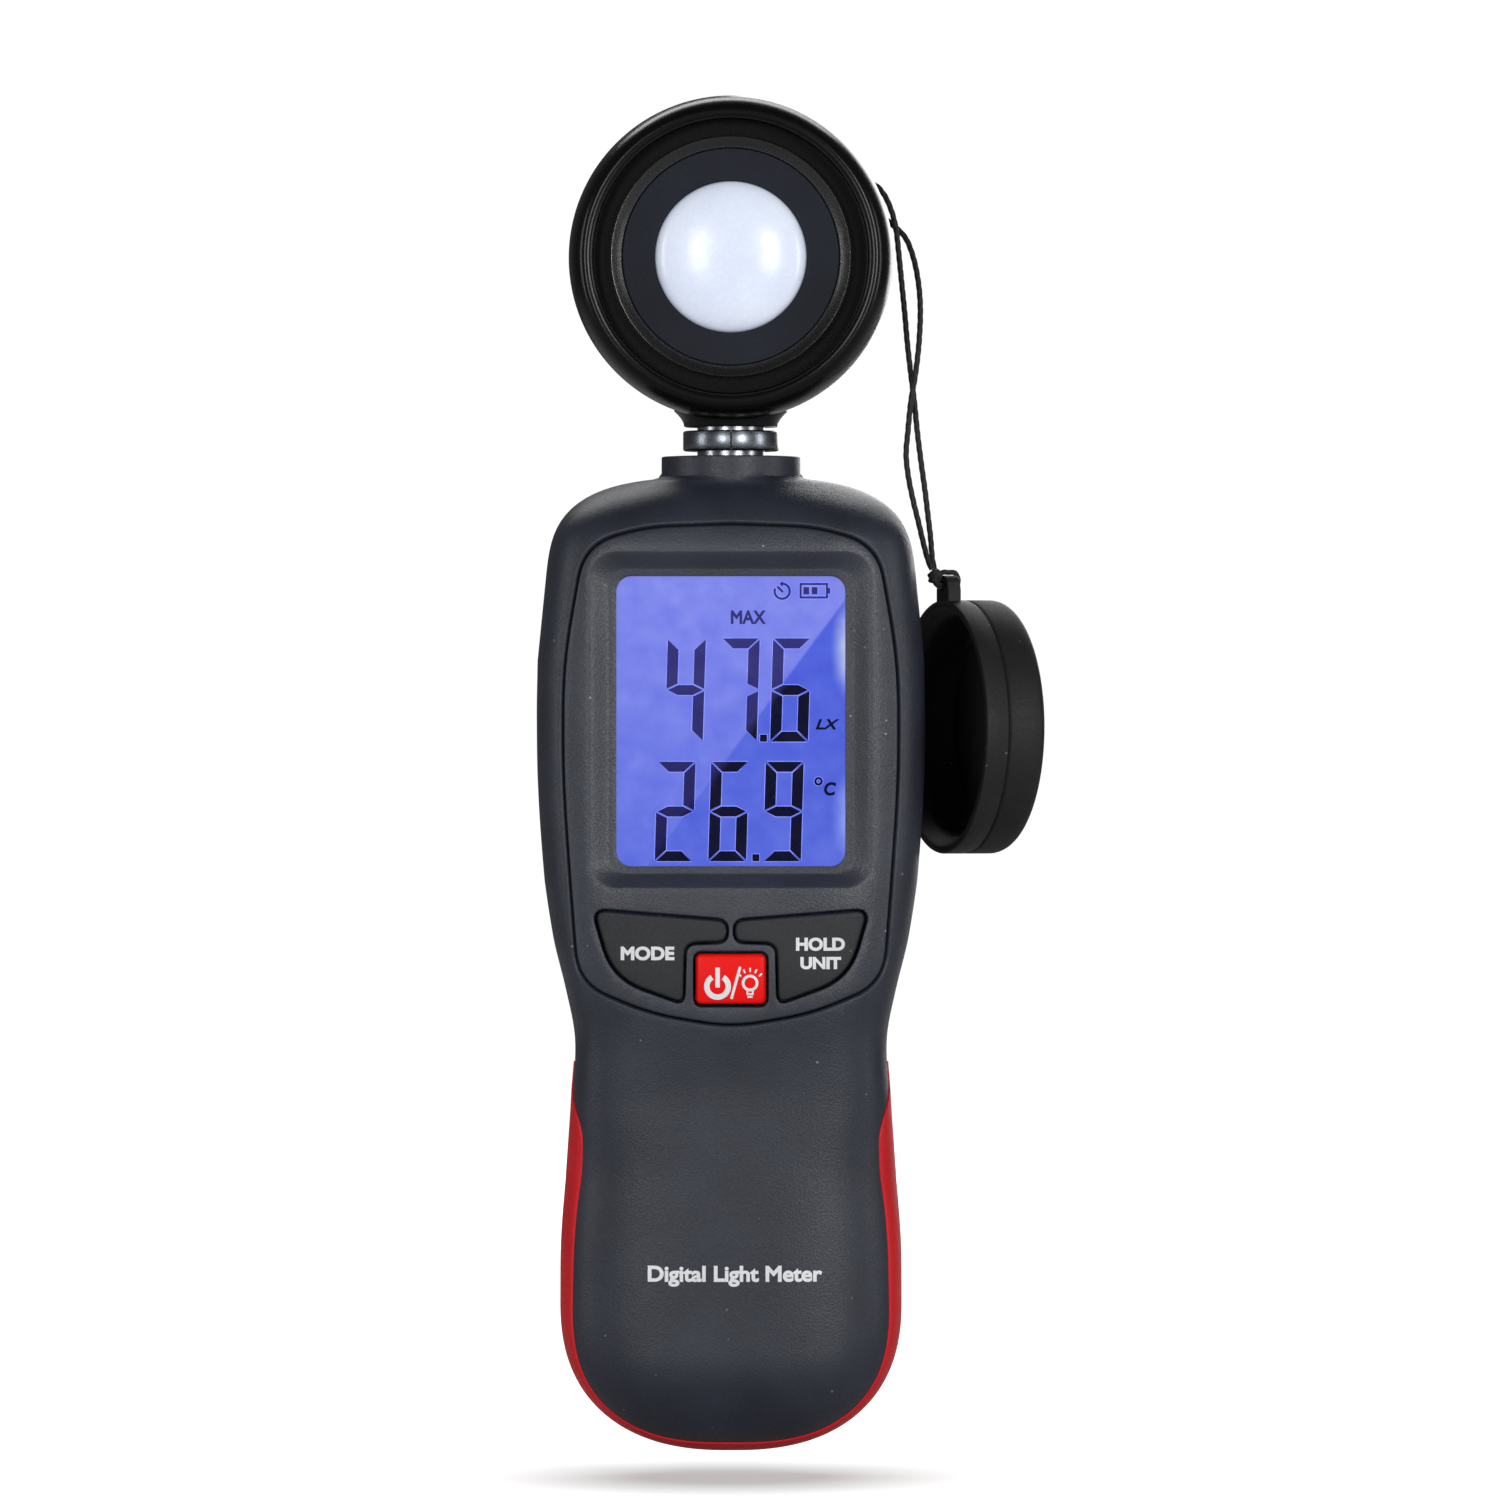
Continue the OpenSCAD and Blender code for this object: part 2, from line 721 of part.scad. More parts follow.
module head_rear_shell() {
    color([0.09, 0.09, 0.1]) difference() {
        union() {
            intersection() {
                head_shell();
                block(-30, 30, axis_y + 0.02, 5, 70, 130);
            }
            // Ear that holds the lanyard pin
            difference() {
                plate(-12.6, -11.2) polygon(rounded([
                    [13, 101, 1], [20.2, 104.4, 2], [19.2, 109.4, 1.8], [12, 110, 1]
                ]));
                head_turned() polygon([[0, 6], [14.6, 6], [16, 10], [16, 24], [0, 24]]);
            }
        }
        disc_y(pin_x, pin_z, pin_tail_r + 0.08, -13.1, -10);
    }
}

module sensor_bezel() {
    color([0.1, 0.1, 0.11]) head_turned() polygon([
        [14.45, floor_d], [16, floor_d], [16, 25.8], [15.8, 26], [14.45, 25]
    ]);
}

module mask_plate() {
    color([0.06, 0.07, 0.1]) head_turned()
        translate([dome_r + 0.05, floor_d]) square([4.35 + 10 - dome_r, 0.8]);
}

module diffuser_dome() {
    color([0.9, 0.92, 0.97]) head_turned() polygon(concat(
        [[0, 20.9], [10.2, 20.9], [10.2, 22.4], [dome_r, 22.4]],
        [for (k = [0:8]) let (a = 90 - 11.25 * k) [dome_r * sin(a), 24.6 + 3.6 * cos(a)]]
    ));
}

module colour_filter() {
    color([0.3, 0.6, 0.5]) head_turned() translate([0, 17.65]) square([4.4, 1.2]);
}

module photodiode() {
    color([0.25, 0.2, 0.3]) block(-4, 4, -17.6, -16.2, head_z - 4, head_z + 4);
}

module sensor_board() {
    color([0.1, 0.35, 0.2]) disc_y(0, head_z, 10, -16.2, -15);
}

module head_screws() {
    color([0.6, 0.6, 0.62]) for (a = head_screw_at) {
        x = head_screw_r * sin(a);
        z = head_z + head_screw_r * cos(a);
        difference() {
            disc_y(x, z, 1.9, -7.9, -6.6);
            block(x - 1.2, x + 1.2, -7.1, -6, z - 0.25, z + 0.25);
            block(x - 0.25, x + 0.25, -7.1, -6, z - 1.2, z + 1.2);
        }
        disc_y(x, z, 0.95, -20, -7.9);
    }
}

module sensor_lead() {
    color([0.1, 0.1, 0.1]) translate([0, axis_y, 56.5]) cylinder(r = 1.3, h = 32.2, $fn = 32);
}

module lanyard_pin() {
    color([0.7, 0.71, 0.73]) {
        disc_y(pin_x, pin_z, pin_tail_r, -12.9, -10);
        disc_y(pin_x, pin_z, pin_r, -10.6, -6.6);
        disc_y(pin_x, pin_z, 1.7, -6.6, -5.8);
    }
}

// ---- keys ----------------------------------------------------------------------------------

// A key with its flange, which stays between x0 and x1, and its stem
module key_cap(outline, x, z, top, x0, x1) {
    plate(top, -28) polygon(outline);
    plate(-28.12, -27.4) intersection() {
        offset(delta = 0.45) polygon(outline);
        translate([x0, -3]) square([x1 - x0, 20]);
    }
    disc_y(x, z, 1.5, -27.5, -26);
}

module key_plunger(x, z) {
    disc_y(x, z, 1.6, -26, plunger_back);
}

module mode_button() {
    color([0.15, 0.15, 0.17])
        key_cap(key_outline, mode_at[0], mode_at[1], face_y + 0.1, -18.3, -0.2);
}

module hold_unit_button() {
    color([0.15, 0.15, 0.17])
        key_cap(mirrored(key_outline), -mode_at[0], mode_at[1], face_y + 0.1, 0.2, 18.3);
}

module power_button() {
    color([0.9, 0.08, 0.08])
        key_cap(power_outline, power_at[0], power_at[1], face_y - 0.5, -5.2, 5.2);
}

module mode_plunger() {
    color([0.9, 0.9, 0.85]) key_plunger(mode_at[0], mode_at[1]);
}

module hold_unit_plunger() {
    color([0.9, 0.9, 0.85]) key_plunger(-mode_at[0], mode_at[1]);
}

module power_plunger() {
    color([0.9, 0.9, 0.85]) key_plunger(power_at[0], power_at[1]);
}

// ---- lens cap and its cord -----------------------------------------------------------------

// Places a shape turned about its own Z, with its mouth at zero, as the cap hangs
module as_cap() {
    translate([cap_x, cap_y, cap_z]) rotate([0, 0, cap_turn]) rotate([0, 90, 0]) children();
}

module lens_cap() {
    color([0.06, 0.06, 0.065]) {
        difference() {
            union() {
                as_cap() rotate_extrude($fn = 96) polygon(concat(
                    [[0, cap_d]],
                    [for (k = [0:5]) let (a = 18 * k) [cap_r - 2 + 2 * sin(a),
                        cap_d - 2 + 2 * cos(a)]],
                    [[cap_r, 3.6], [cap_r - 0.4, 3.3], [cap_r, 3], [cap_r, 0.3],
                        [cap_r - 0.3, 0], [16.1, 0], [14.8, 1.8], [14.6, 3], [14.6, cap_d - 1.4],
                        [0, cap_d - 1.4]]
                ));
                // Lug for the cord
                as_cap() translate([-cap_r - lug_eye, 0, 0.1]) hull() {
                    for (y = [-0.6, 0.6]) translate([0, y, 0])
                        cylinder(r = lug_r, h = lug_t, $fn = 32);
                    translate([1, -lug_w / 2, 0]) cube([1.75, lug_w, lug_t]);
                }
            }
            as_cap() translate([-cap_r - lug_eye, 0, -1]) cylinder(r = 0.7, h = 4);
        }
    }
}

// The cord: up from the hitch on the cap, round the pin on the head, and back down
cord_route = [
    [27.3, -10.2, 57.6], [27, -9.9, 59], [26.75, -9.5, 62], [26.4, -9.3, 65], [26.05, -9.2, 68],
    [25.5, -9.1, 72], [25, -9.1, 76], [24.6, -9.2, 80], [24.1, -9.3, 84], [23.65, -9.3, 88],
    [23.3, -9.3, 92], [22.9, -9.3, 96], [22.5, -9.3, 100], [22.2, -9.4, 102.8],
    [21.85, -9.4, 104.6], [21.35, -9.4, 106.2], [20.6, -9.2, 107.8], [19.5, -9, 109.1],
    [18.3, -8.8, 109.35], [17, -8.7, 109], [16.3, -8.5, 108.1], [16.3, -8.3, 107.1],
    [17, -8.1, 106.3], [18.2, -8, 105.95], [19.4, -8, 105.6], [20.6, -8.1, 104.8],
    [21.8, -8.3, 103.8], [22.8, -8.5, 102.9], [23.6, -8.8, 101.8], [24.3, -9.1, 100],
    [24.85, -9.5, 97.8], [25.25, -9.9, 95], [25.38, -10.2, 92], [25.2, -10.3, 88],
    [24.75, -10.4, 84], [24.1, -10.4, 80], [23.7, -10.4, 76], [23.47, -10.4, 73],
    [23.78, -10.4, 70], [24.38, -10.4, 67], [25.11, -10.5, 64], [25.82, -10.7, 61],
    [26.35, -10.9, 59], [26.9, -11.1, 57.6]
];
cord_sides = 8;
knot_at = [27.1, -10.7, 56.75];

function lay(p, per) = [
    for (i = [0:len(p) - 2]) each let (
        n = max(1, round(norm(p[i + 1] - p[i]) / per))
    ) [for (k = [0:n - 1]) through(p, i, k / n)], p[len(p) - 1]
];

module swept(path, r) {
    n = len(path);
    dirs = [for (i = [0:n - 1]) let (v = path[min(n - 1, i + 1)] - path[max(0, i - 1)]) v / norm(v)];
    pts = [for (i = [0:n - 1]) let (
        u = cross(dirs[i], [0, 1, 0.001]), a = u / norm(u), b = cross(dirs[i], a)
    ) for (j = [0:cord_sides - 1]) let (q = 360 * j / cord_sides)
        path[i] + r * (a * cos(q) + b * sin(q))];
    polyhedron(points = pts, faces = concat(
        [[for (j = [0:cord_sides - 1]) j]],
        [for (i = [0:n - 2], j = [0:cord_sides - 1]) let (
            a = i * cord_sides + j, b = i * cord_sides + (j + 1) % cord_sides
        ) each [[a, a + cord_sides, b + cord_sides], [a, b + cord_sides, b]]],
        [[for (j = [cord_sides - 1:-1:0]) (n - 1) * cord_sides + j]]
    ));
}

module cap_cord() {
    color([0.05, 0.05, 0.055]) swept(lay(cord_route, 2.2), cord_d / 2);
}

// The hitch, in the cap's own frame: a loop through the lug's eye and over its top
module cord_knot() {
    near = 0.1 - cord_d / 2 - 0.12;
    far = 0.1 + lug_t + cord_d / 2 + 0.12;
    eye = cap_r + lug_eye;
    top = eye + lug_r + cord_d / 2 + 0.12;
    path = [
        [near, eye + 1.3], [near, eye + 0.7], [near + 0.3, eye], [0.8, eye], [1.3, eye],
        [far - 0.3, eye], [far, eye + 0.7], [far, eye + 1.2], [far - 0.25, top - 0.08],
        [1.2, top], [0.4, top]
    ];
    color([0.05, 0.05, 0.055]) moulded() {
        as_cap() swept([for (p = path) [-p[1], 0, p[0]]], cord_d / 2);
        translate(knot_at) sphere(r = 0.8, $fn = 24);
        translate(knot_at + [0.45, 0.2, -0.4]) sphere(r = 0.64, $fn = 24);
    }
}

front_housing();
rear_housing();
face_panel();
display_window();
grip_overmold();
housing_screws();
tripod_insert();
battery_springs();
battery_contacts();
batteries();
battery_leads();
main_board();
controller_chip();
timing_crystal();
temperature_sensor();
lead_socket();
key_switches();
lcd_glass();
backlight_panel();
lcd_holder();
contact_strip();
neck_bushing();
swivel_shaft();
retaining_clip();
stop_washer();
friction_washer();
neck_collar();
head_front_shell();
head_rear_shell();
sensor_bezel();
mask_plate();
diffuser_dome();
colour_filter();
photodiode();
sensor_board();
head_screws();
sensor_lead();
lanyard_pin();
mode_button();
mode_plunger();
hold_unit_button();
hold_unit_plunger();
power_button();
power_plunger();
battery_cover();
lens_cap();
cap_cord();
cord_knot();
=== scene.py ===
"""Handheld light meter: shells, keys, display, sensor head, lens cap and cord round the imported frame."""
import json
import math
import bpy
import bmesh
import numpy as np
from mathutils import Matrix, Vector
from mathutils.geometry import delaunay_2d_cdt


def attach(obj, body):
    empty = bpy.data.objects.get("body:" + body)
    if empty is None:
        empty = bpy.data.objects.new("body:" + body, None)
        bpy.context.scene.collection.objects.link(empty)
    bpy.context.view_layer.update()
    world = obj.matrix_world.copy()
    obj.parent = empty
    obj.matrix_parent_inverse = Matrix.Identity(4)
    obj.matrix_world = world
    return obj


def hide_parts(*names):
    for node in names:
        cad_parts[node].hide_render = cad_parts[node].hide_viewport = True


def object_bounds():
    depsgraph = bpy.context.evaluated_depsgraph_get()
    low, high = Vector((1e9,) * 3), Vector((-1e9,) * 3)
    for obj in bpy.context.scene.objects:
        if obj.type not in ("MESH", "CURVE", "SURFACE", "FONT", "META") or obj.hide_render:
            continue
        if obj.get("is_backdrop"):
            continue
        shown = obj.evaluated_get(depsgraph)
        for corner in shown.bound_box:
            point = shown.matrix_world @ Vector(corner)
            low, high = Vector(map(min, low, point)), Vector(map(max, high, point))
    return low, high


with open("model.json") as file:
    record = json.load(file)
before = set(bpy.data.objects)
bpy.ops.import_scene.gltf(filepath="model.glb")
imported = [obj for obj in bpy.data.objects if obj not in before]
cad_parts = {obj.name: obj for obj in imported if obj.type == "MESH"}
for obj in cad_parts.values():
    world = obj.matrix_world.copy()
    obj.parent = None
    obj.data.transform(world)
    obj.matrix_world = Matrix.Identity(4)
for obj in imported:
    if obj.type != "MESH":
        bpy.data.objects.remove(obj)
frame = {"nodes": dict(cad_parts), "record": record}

CAD_BOX = [list(c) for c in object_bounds()]
MM = 0.001
NODES = frame["nodes"]

# ---------------------------------------------------------------- camera
AXIS_Y = -15.5
EYE = 1450.0
VIEW_W = 200.4
cam = bpy.data.cameras.new("camera")
cam_obj = bpy.data.objects.new("camera", cam)
bpy.context.scene.collection.objects.link(cam_obj)
cam_obj.location = (2.54 * MM, (AXIS_Y - EYE) * MM, 33.4 * MM)
cam_obj.rotation_euler = (math.radians(90), 0, 0)
cam.sensor_width = 36
cam.lens = 36 * EYE / VIEW_W
cam.clip_start, cam.clip_end = 0.05, 20
bpy.context.scene.camera = cam_obj
bpy.context.scene.view_settings.view_transform = "Standard"
bpy.context.scene.view_settings.look = "None"


# ---------------------------------------------------------------- materials
MAT = {}


def rgb(h):
    """A colour written as #rrggbb, as linear red, green and blue."""
    v = [int(h[i:i + 2], 16) / 255 for i in (1, 3, 5)]
    return tuple(c / 12.92 if c <= 0.04045 else ((c + 0.055) / 1.055) ** 2.4 for c in v) + (1,)


class Nodes:
    """The node tree of a material or the world, with short ways to add to it."""

    def __init__(self, owner):
        owner.use_nodes = True
        self.tree = owner.node_tree
        self.tree.nodes.clear()

    def add(self, kind, inputs=None, operation=None, data_type=None):
        """A new node. An input is linked where it is given another node's output, and otherwise set."""
        node = self.tree.nodes.new(kind)
        if operation:
            node.operation = operation
        if data_type:
            node.data_type = data_type
        for key, value in (inputs or {}).items():
            if isinstance(value, bpy.types.NodeSocket):
                self.tree.links.new(value, node.inputs[key])
            else:
                node.inputs[key].default_value = value
        return node

    def coord(self):
        """The object's own coordinates, in metres."""
        return self.add("ShaderNodeTexCoord").outputs["Object"]

    def maths(self, operation, *values):
        return self.add("ShaderNodeMath", dict(enumerate(values)), operation).outputs[0]

    def length(self, vector):
        return self.add("ShaderNodeVectorMath", {0: vector}, "LENGTH").outputs["Value"]

    def noise(self, coord, grain, detail=2.0, rough=0.5):
        """A noise texture whose features are about grain millimetres across."""
        return self.add("ShaderNodeTexNoise", {"Vector": coord, "Scale": 1 / (grain * MM), "Detail": detail,
                                               "Roughness": rough}).outputs["Fac"]

    def spread(self, fac, low, high, start=0.3, end=0.7, smooth=False):
        """low to high as fac goes from start to end."""
        node = self.add("ShaderNodeMapRange", {"Value": fac, "From Min": start, "From Max": end,
                                               "To Min": low, "To Max": high})
        if smooth:
            node.interpolation_type = "SMOOTHSTEP"
        return node.outputs["Result"]

    def across(self, coord, direction, start, end):
        """0 to 1 along a direction, from start to end in millimetres."""
        dot = self.add("ShaderNodeVectorMath", {0: coord, 1: direction}, "DOT_PRODUCT")
        return self.spread(dot.outputs["Value"], 0.0, 1.0, start * MM, end * MM)

    def mix(self, fac, a, b):
        """Colour a where fac is 0, b where it is 1."""
        return self.add("ShaderNodeMix", {0: fac, 6: a, 7: b}, data_type="RGBA").outputs[2]

    def ramp(self, fac, first, last):
        """A colour ramp between two stops, each a position and a colour."""
        node = self.add("ShaderNodeValToRGB", {"Fac": fac})
        for element, stop in zip(node.color_ramp.elements, (first, last)):
            element.position, element.color = stop
        return node.outputs["Color"]

    def show(self, shader, output="Shader"):
        self.add("ShaderNodeOutputMaterial", {"Surface": shader.outputs[output]})

    def principled(self, inputs):
        self.show(self.add("ShaderNodeBsdfPrincipled", inputs), "BSDF")


def new_material(name):
    MAT[name] = bpy.data.materials.new(name)
    return Nodes(MAT[name])


GRAIN_SHARE, PATCH_SHARE = 0.45, 0.55
FLECK_PITCH, FLECK_COLOUR = 2.3, "#a6a8ae"
SCATTER = (0.002, 0.002, 0.002)


def moulded(name, dark, light, roughs, grain=0.35, bump=0.25, specular=0.5, metallic=0.0, emit=0.0,
            patch=9.0, sheen=0.0, depth=0.05, subsurface=0.0, fleck=0.0):
    """A moulded or machined surface: two close shades in broad patches, fine grain, varied gloss. grain,
    patch and the bump's depth are in millimetres, and fleck is the strength of scattered pale dust."""
    t = new_material(name)
    coord = t.coord()
    broad, fine = t.noise(coord, patch, 3), t.noise(coord, grain, 2, 0.6)
    both = t.maths("MULTIPLY_ADD", fine, GRAIN_SHARE, t.maths("MULTIPLY", broad, PATCH_SHARE))
    colour = t.ramp(both, (0.36, rgb(dark)), (0.66, rgb(light)))
    if fleck:
        spots = t.add("ShaderNodeTexVoronoi", {"Vector": coord, "Scale": 1 / (FLECK_PITCH * MM)})
        near = t.spread(spots.outputs["Distance"], 1.0, 0.0, 0.05, 0.085)
        pick = t.add("ShaderNodeSeparateColor", {"Color": spots.outputs["Color"]})
        some = t.spread(pick.outputs["Red"], 0.0, fleck, 0.62, 0.9)
        colour = t.mix(t.maths("MULTIPLY", near, some), colour, rgb(FLECK_COLOUR))
    relief = t.add("ShaderNodeBump", {"Strength": bump, "Distance": depth * MM, "Height": fine})
    inputs = {"Base Color": colour, "Roughness": t.spread(fine, roughs[1], roughs[0]),
              "Normal": relief.outputs["Normal"], "Metallic": metallic, "Specular IOR Level": specular,
              "Sheen Weight": sheen}
    if subsurface:
        inputs.update({"Subsurface Weight": subsurface, "Subsurface Radius": SCATTER,
                       "Subsurface Scale": 1.0})
    if emit:
        inputs.update({"Emission Color": colour, "Emission Strength": emit})
    t.principled(inputs)


moulded("housing", "#242731", "#2f333f", (0.36, 0.5), 0.28, 0.7, 0.4, depth=0.08, fleck=0.5)
moulded("panel", "#2b2e37", "#373b46", (0.34, 0.48), 0.28, 0.75, 0.48, depth=0.08, fleck=0.6)
moulded("grip", "#c4101a", "#d71821", (0.42, 0.6), 0.3, 0.35, 0.3, depth=0.04)
moulded("dark_key", "#242527", "#2d2e31", (0.5, 0.66), 0.25, 0.3, 0.35, fleck=0.4)
moulded("red_key", "#ea0f0d", "#f81511", (0.3, 0.42), 0.3, 0.1, 0.16)
moulded("head", "#080809", "#0c0c0d", (0.2, 0.28), 0.25, 0.1, 0.22)
moulded("bezel", "#0a0a0b", "#121214", (0.2, 0.34), 0.2, 0.35, 0.85)
moulded("mask", "#171a23", "#1f222d", (0.6, 0.75), 0.2, 0.3, 0.2)
moulded("cap", "#1a1a1b", "#242425", (0.5, 0.64), 0.3, 0.3, 0.25, fleck=0.3)
moulded("cord", "#070708", "#26262a", (0.5, 0.75), 0.12, 0.5, 0.35, sheen=0.2, patch=0.5)
# The dome glows a little (emit=0.17): painted light, since nothing lights it from inside.
moulded("dome", "#d9e1f4", "#e3ebfb", (0.2, 0.28), 0.6, 0.03, 0.5, subsurface=0.3, emit=0.17)
moulded("shaft_metal", "#8d9095", "#a9acb1", (0.2, 0.34), 0.15, 0.1, 0.5, 1.0)
moulded("chrome", "#6f747c", "#8d9299", (0.24, 0.34), 0.2, 0.05, 0.5, 1.0)
moulded("steel", "#74767b", "#96989d", (0.25, 0.42), 0.15, 0.12, 0.5, 1.0)
moulded("brass", "#9d7f3b", "#bb9a50", (0.25, 0.4), 0.15, 0.15, 0.5, 1.0)
moulded("nickel", "#a6a59f", "#c4c3bd", (0.2, 0.35), 0.15, 0.1, 0.5, 1.0)
moulded("cells", "#a98a36", "#c9a94a", (0.3, 0.45), 0.8, 0.1, 0.5, 0.3)
moulded("wire", "#8c1215", "#ab1c20", (0.4, 0.6), 0.3, 0.1)
moulded("board", "#15452a", "#1e5a37", (0.35, 0.5), 0.6, 0.2)
moulded("chip", "#141416", "#1e1e21", (0.45, 0.6), 0.2, 0.2)
moulded("white_plastic", "#d9d7cf", "#e8e6df", (0.4, 0.55), 0.4, 0.1)
moulded("backlight", "#cfd4ee", "#e2e6f8", (0.3, 0.5), 0.5, 0.05, emit=0.3)
moulded("contact_rubber", "#9c6a6a", "#b98787", (0.6, 0.75), 0.25, 0.2)
moulded("black_plastic", "#111112", "#1a1a1c", (0.35, 0.55), 0.25, 0.2)
moulded("filter", "#3f7f6c", "#579c87", (0.1, 0.2), 0.5, 0.05)
# The white print glows faintly (emit=0.05): painted light.
moulded("paint", "#d4d5d9", "#ececef", (0.5, 0.65), 0.12, 0.1, emit=0.05)
moulded("digit_edge", "#7d86e4", "#8e96ee", (0.5, 0.6), 1.5, 0.02, 0.1, emit=0.8)

# The slanting edge of the painted glare on the display, a painted reflection, and the way down it.
SLANT_WAY, DOWN = (0.803, 0, -0.597), (0, 0, -1)


def glass_material():
    """A clear window, glossier towards its edge-on view."""
    t = new_material("window")
    fac = t.noise(t.coord(), 3, 2)
    clear = t.add("ShaderNodeBsdfTransparent",
                  {"Color": t.ramp(fac, (0.3, rgb("#eef0fb")), (0.7, rgb("#ffffff")))})
    gloss = t.add("ShaderNodeBsdfGlossy", {"Roughness": t.spread(fac, 0.05, 0.09)})
    weight = t.add("ShaderNodeLayerWeight", {"Blend": 0.12})
    t.show(t.add("ShaderNodeMixShader", {"Fac": weight.outputs["Facing"], 1: clear.outputs["BSDF"],
                                         2: gloss.outputs["BSDF"]}))


def spot(t, coord, x, z, rx, rz):
    """1 at a point of the display, falling to 0 over rx sideways and rz up and down, in millimetres."""
    placed = t.add("ShaderNodeMapping", {"Vector": coord, "Location": (-x / rx, 0, -z / rz),
                                         "Scale": (1 / (rx * MM), 0, 1 / (rz * MM))})
    return t.spread(t.length(placed.outputs["Vector"]), 1, 0, 0, 1, smooth=True)


def lcd_material():
    """Backlit liquid crystal: lavender blue, with a painted reflection on it: deeper beyond a slanting edge,
    and pale painted glows at the right.
    """
    t = new_material("lcd")
    coord = t.coord()
    down = t.across(coord, DOWN, -54, -19)
    light = t.mix(down, rgb("#8991ee"), rgb("#6a7ae4"))
    deep = t.mix(down, rgb("#5064dc"), rgb("#5e70de"))
    # Beyond the slanting edge the colour is the deeper one: a painted reflection.
    colour = t.mix(t.across(coord, SLANT_WAY, -19.85, -19.5), light, deep)
    # Two pale painted glows at the right edge: painted reflections mixed into the backlit colour.
    for *place, tint in ((16.0, 46.8, 3.0, 8.0, "#dbe7ff"), (16.2, 24.5, 3.2, 7.5, "#a9bdff")):
        colour = t.mix(spot(t, coord, *place), colour, rgb(tint))
    colour = t.mix(t.spread(t.noise(coord, 18, 0), 0.0, 0.035, 0.35, 0.7), colour, rgb("#99a0f4"))
    t.principled({"Emission Color": colour, "Emission Strength": 0.97, "Roughness": 0.6,
                  "Base Color": t.mix(down, rgb("#15153a"), rgb("#101136")), "Specular IOR Level": 0.1})


def digit_material():
    """Dark liquid crystal figures, indigo at the upper left and nearly black beyond the slanting edge of the
    painted glare, a painted reflection.
    """
    t = new_material("digit")
    coord = t.coord()
    # Across the slanting edge of the painted glare: beyond it the figures go nearly black, a painted
    # reflection.
    painted_glare_mask = t.across(coord, SLANT_WAY, -20.2, -18.9)
    indigo = t.mix(t.across(coord, DOWN, -44, -20), rgb("#38377a"), rgb("#1e194e"))
    t.principled({"Emission Color": t.mix(painted_glare_mask, indigo, rgb("#070826")), "Emission Strength": 0.9,
                  "Base Color": t.mix(painted_glare_mask, rgb("#0c0b20"), rgb("#040410")), "Specular IOR Level": 0.1,
                  "Roughness": t.spread(t.noise(coord, 1.2, 1), 0.5, 0.65)})


glass_material()
lcd_material()
digit_material()


# ---------------------------------------------------------------- making pieces
def piece(name, shape, slot, body, replaces=(), sharp=38.0, material=None, merge=0.0004):
    """A mesh piece from the points, in millimetres, and faces of a shape, riding on a body."""
    verts, faces = shape
    mesh = bpy.data.meshes.new(name)
    mesh.from_pydata([tuple(float(c) * MM for c in v) for v in verts], [], [tuple(f) for f in faces])
    bm = bmesh.new()
    bm.from_mesh(mesh)
    bmesh.ops.remove_doubles(bm, verts=bm.verts, dist=merge * MM)
    bmesh.ops.dissolve_degenerate(bm, edges=bm.edges, dist=1e-7)
    bmesh.ops.recalc_face_normals(bm, faces=bm.faces)
    bm.to_mesh(mesh)
    bm.free()
    for p in mesh.polygons:
        p.use_smooth = True
    mesh.set_sharp_from_angle(angle=math.radians(sharp))
    mesh.materials.append(MAT[material or slot])
    obj = bpy.data.objects.new(name, mesh)
    bpy.context.scene.collection.objects.link(obj)
    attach(obj, body)
    if replaces:
        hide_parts(*replaces)
    return obj


# ---------------------------------------------------------------- cord and its hitch
CORD_D = 0.75
CORD_ROUTE = [
    [27.3, -10.2, 57.6], [27, -9.9, 59], [26.75, -9.5, 62], [26.4, -9.3, 65], [26.05, -9.2, 68],
    [25.5, -9.1, 72], [25, -9.1, 76], [24.6, -9.2, 80], [24.1, -9.3, 84], [23.65, -9.3, 88],
    [23.3, -9.3, 92], [22.9, -9.3, 96], [22.5, -9.3, 100], [22.2, -9.4, 102.8],
    [21.85, -9.4, 104.6], [21.35, -9.4, 106.2], [20.6, -9.2, 107.8], [19.5, -9, 109.1],
    [18.3, -8.8, 109.35], [17, -8.7, 109], [16.3, -8.5, 108.1], [16.3, -8.3, 107.1],
    [17, -8.1, 106.3], [18.2, -8, 105.95], [19.4, -8, 105.6], [20.6, -8.1, 104.8],
    [21.8, -8.3, 103.8], [22.8, -8.5, 102.9], [23.6, -8.8, 101.8], [24.3, -9.1, 100],
    [24.85, -9.5, 97.8], [25.25, -9.9, 95], [25.38, -10.2, 92], [25.2, -10.3, 88],
    [24.75, -10.4, 84], [24.1, -10.4, 80], [23.7, -10.4, 76], [23.47, -10.4, 73],
    [23.78, -10.4, 70], [24.38, -10.4, 67], [25.11, -10.5, 64], [25.82, -10.7, 61],
    [26.35, -10.9, 59], [26.9, -11.1, 57.6]
]


def through(a, b, c, d, t):
    """A smooth value from b, at t = 0, to c, at 1, where a and d are the values before and after them."""
    return 0.5 * (2 * b + (c - a) * t + (2 * a - 5 * b + 4 * c - d) * t * t
                  + (3 * b - 3 * c + d - a) * t ** 3)


def spline(points, step):
    """A smooth line through points, sampled about every step."""
    p = np.array(points, float)
    p = np.vstack([2 * p[0] - p[1], p, 2 * p[-1] - p[-2]])
    out = []
    for i in range(1, len(p) - 2):
        n = max(1, int(round(np.linalg.norm(p[i + 1] - p[i]) / step)))
        out += [through(*p[i - 1:i + 3], k / n) for k in range(n)]
    return np.array(out + [p[-2]])


def crossways(path):
    """Two steady cross directions at each point of a path."""
    d = np.gradient(path, axis=0)
    d /= np.linalg.norm(d, axis=1)[:, None]
    u = np.cross(d[0], [0.3, 1.0, 0.2])
    us = []
    for t in d:
        u = u - t * np.dot(u, t)
        u = u / np.linalg.norm(u)
        us.append(u)
    return np.array(us), np.cross(d, us)


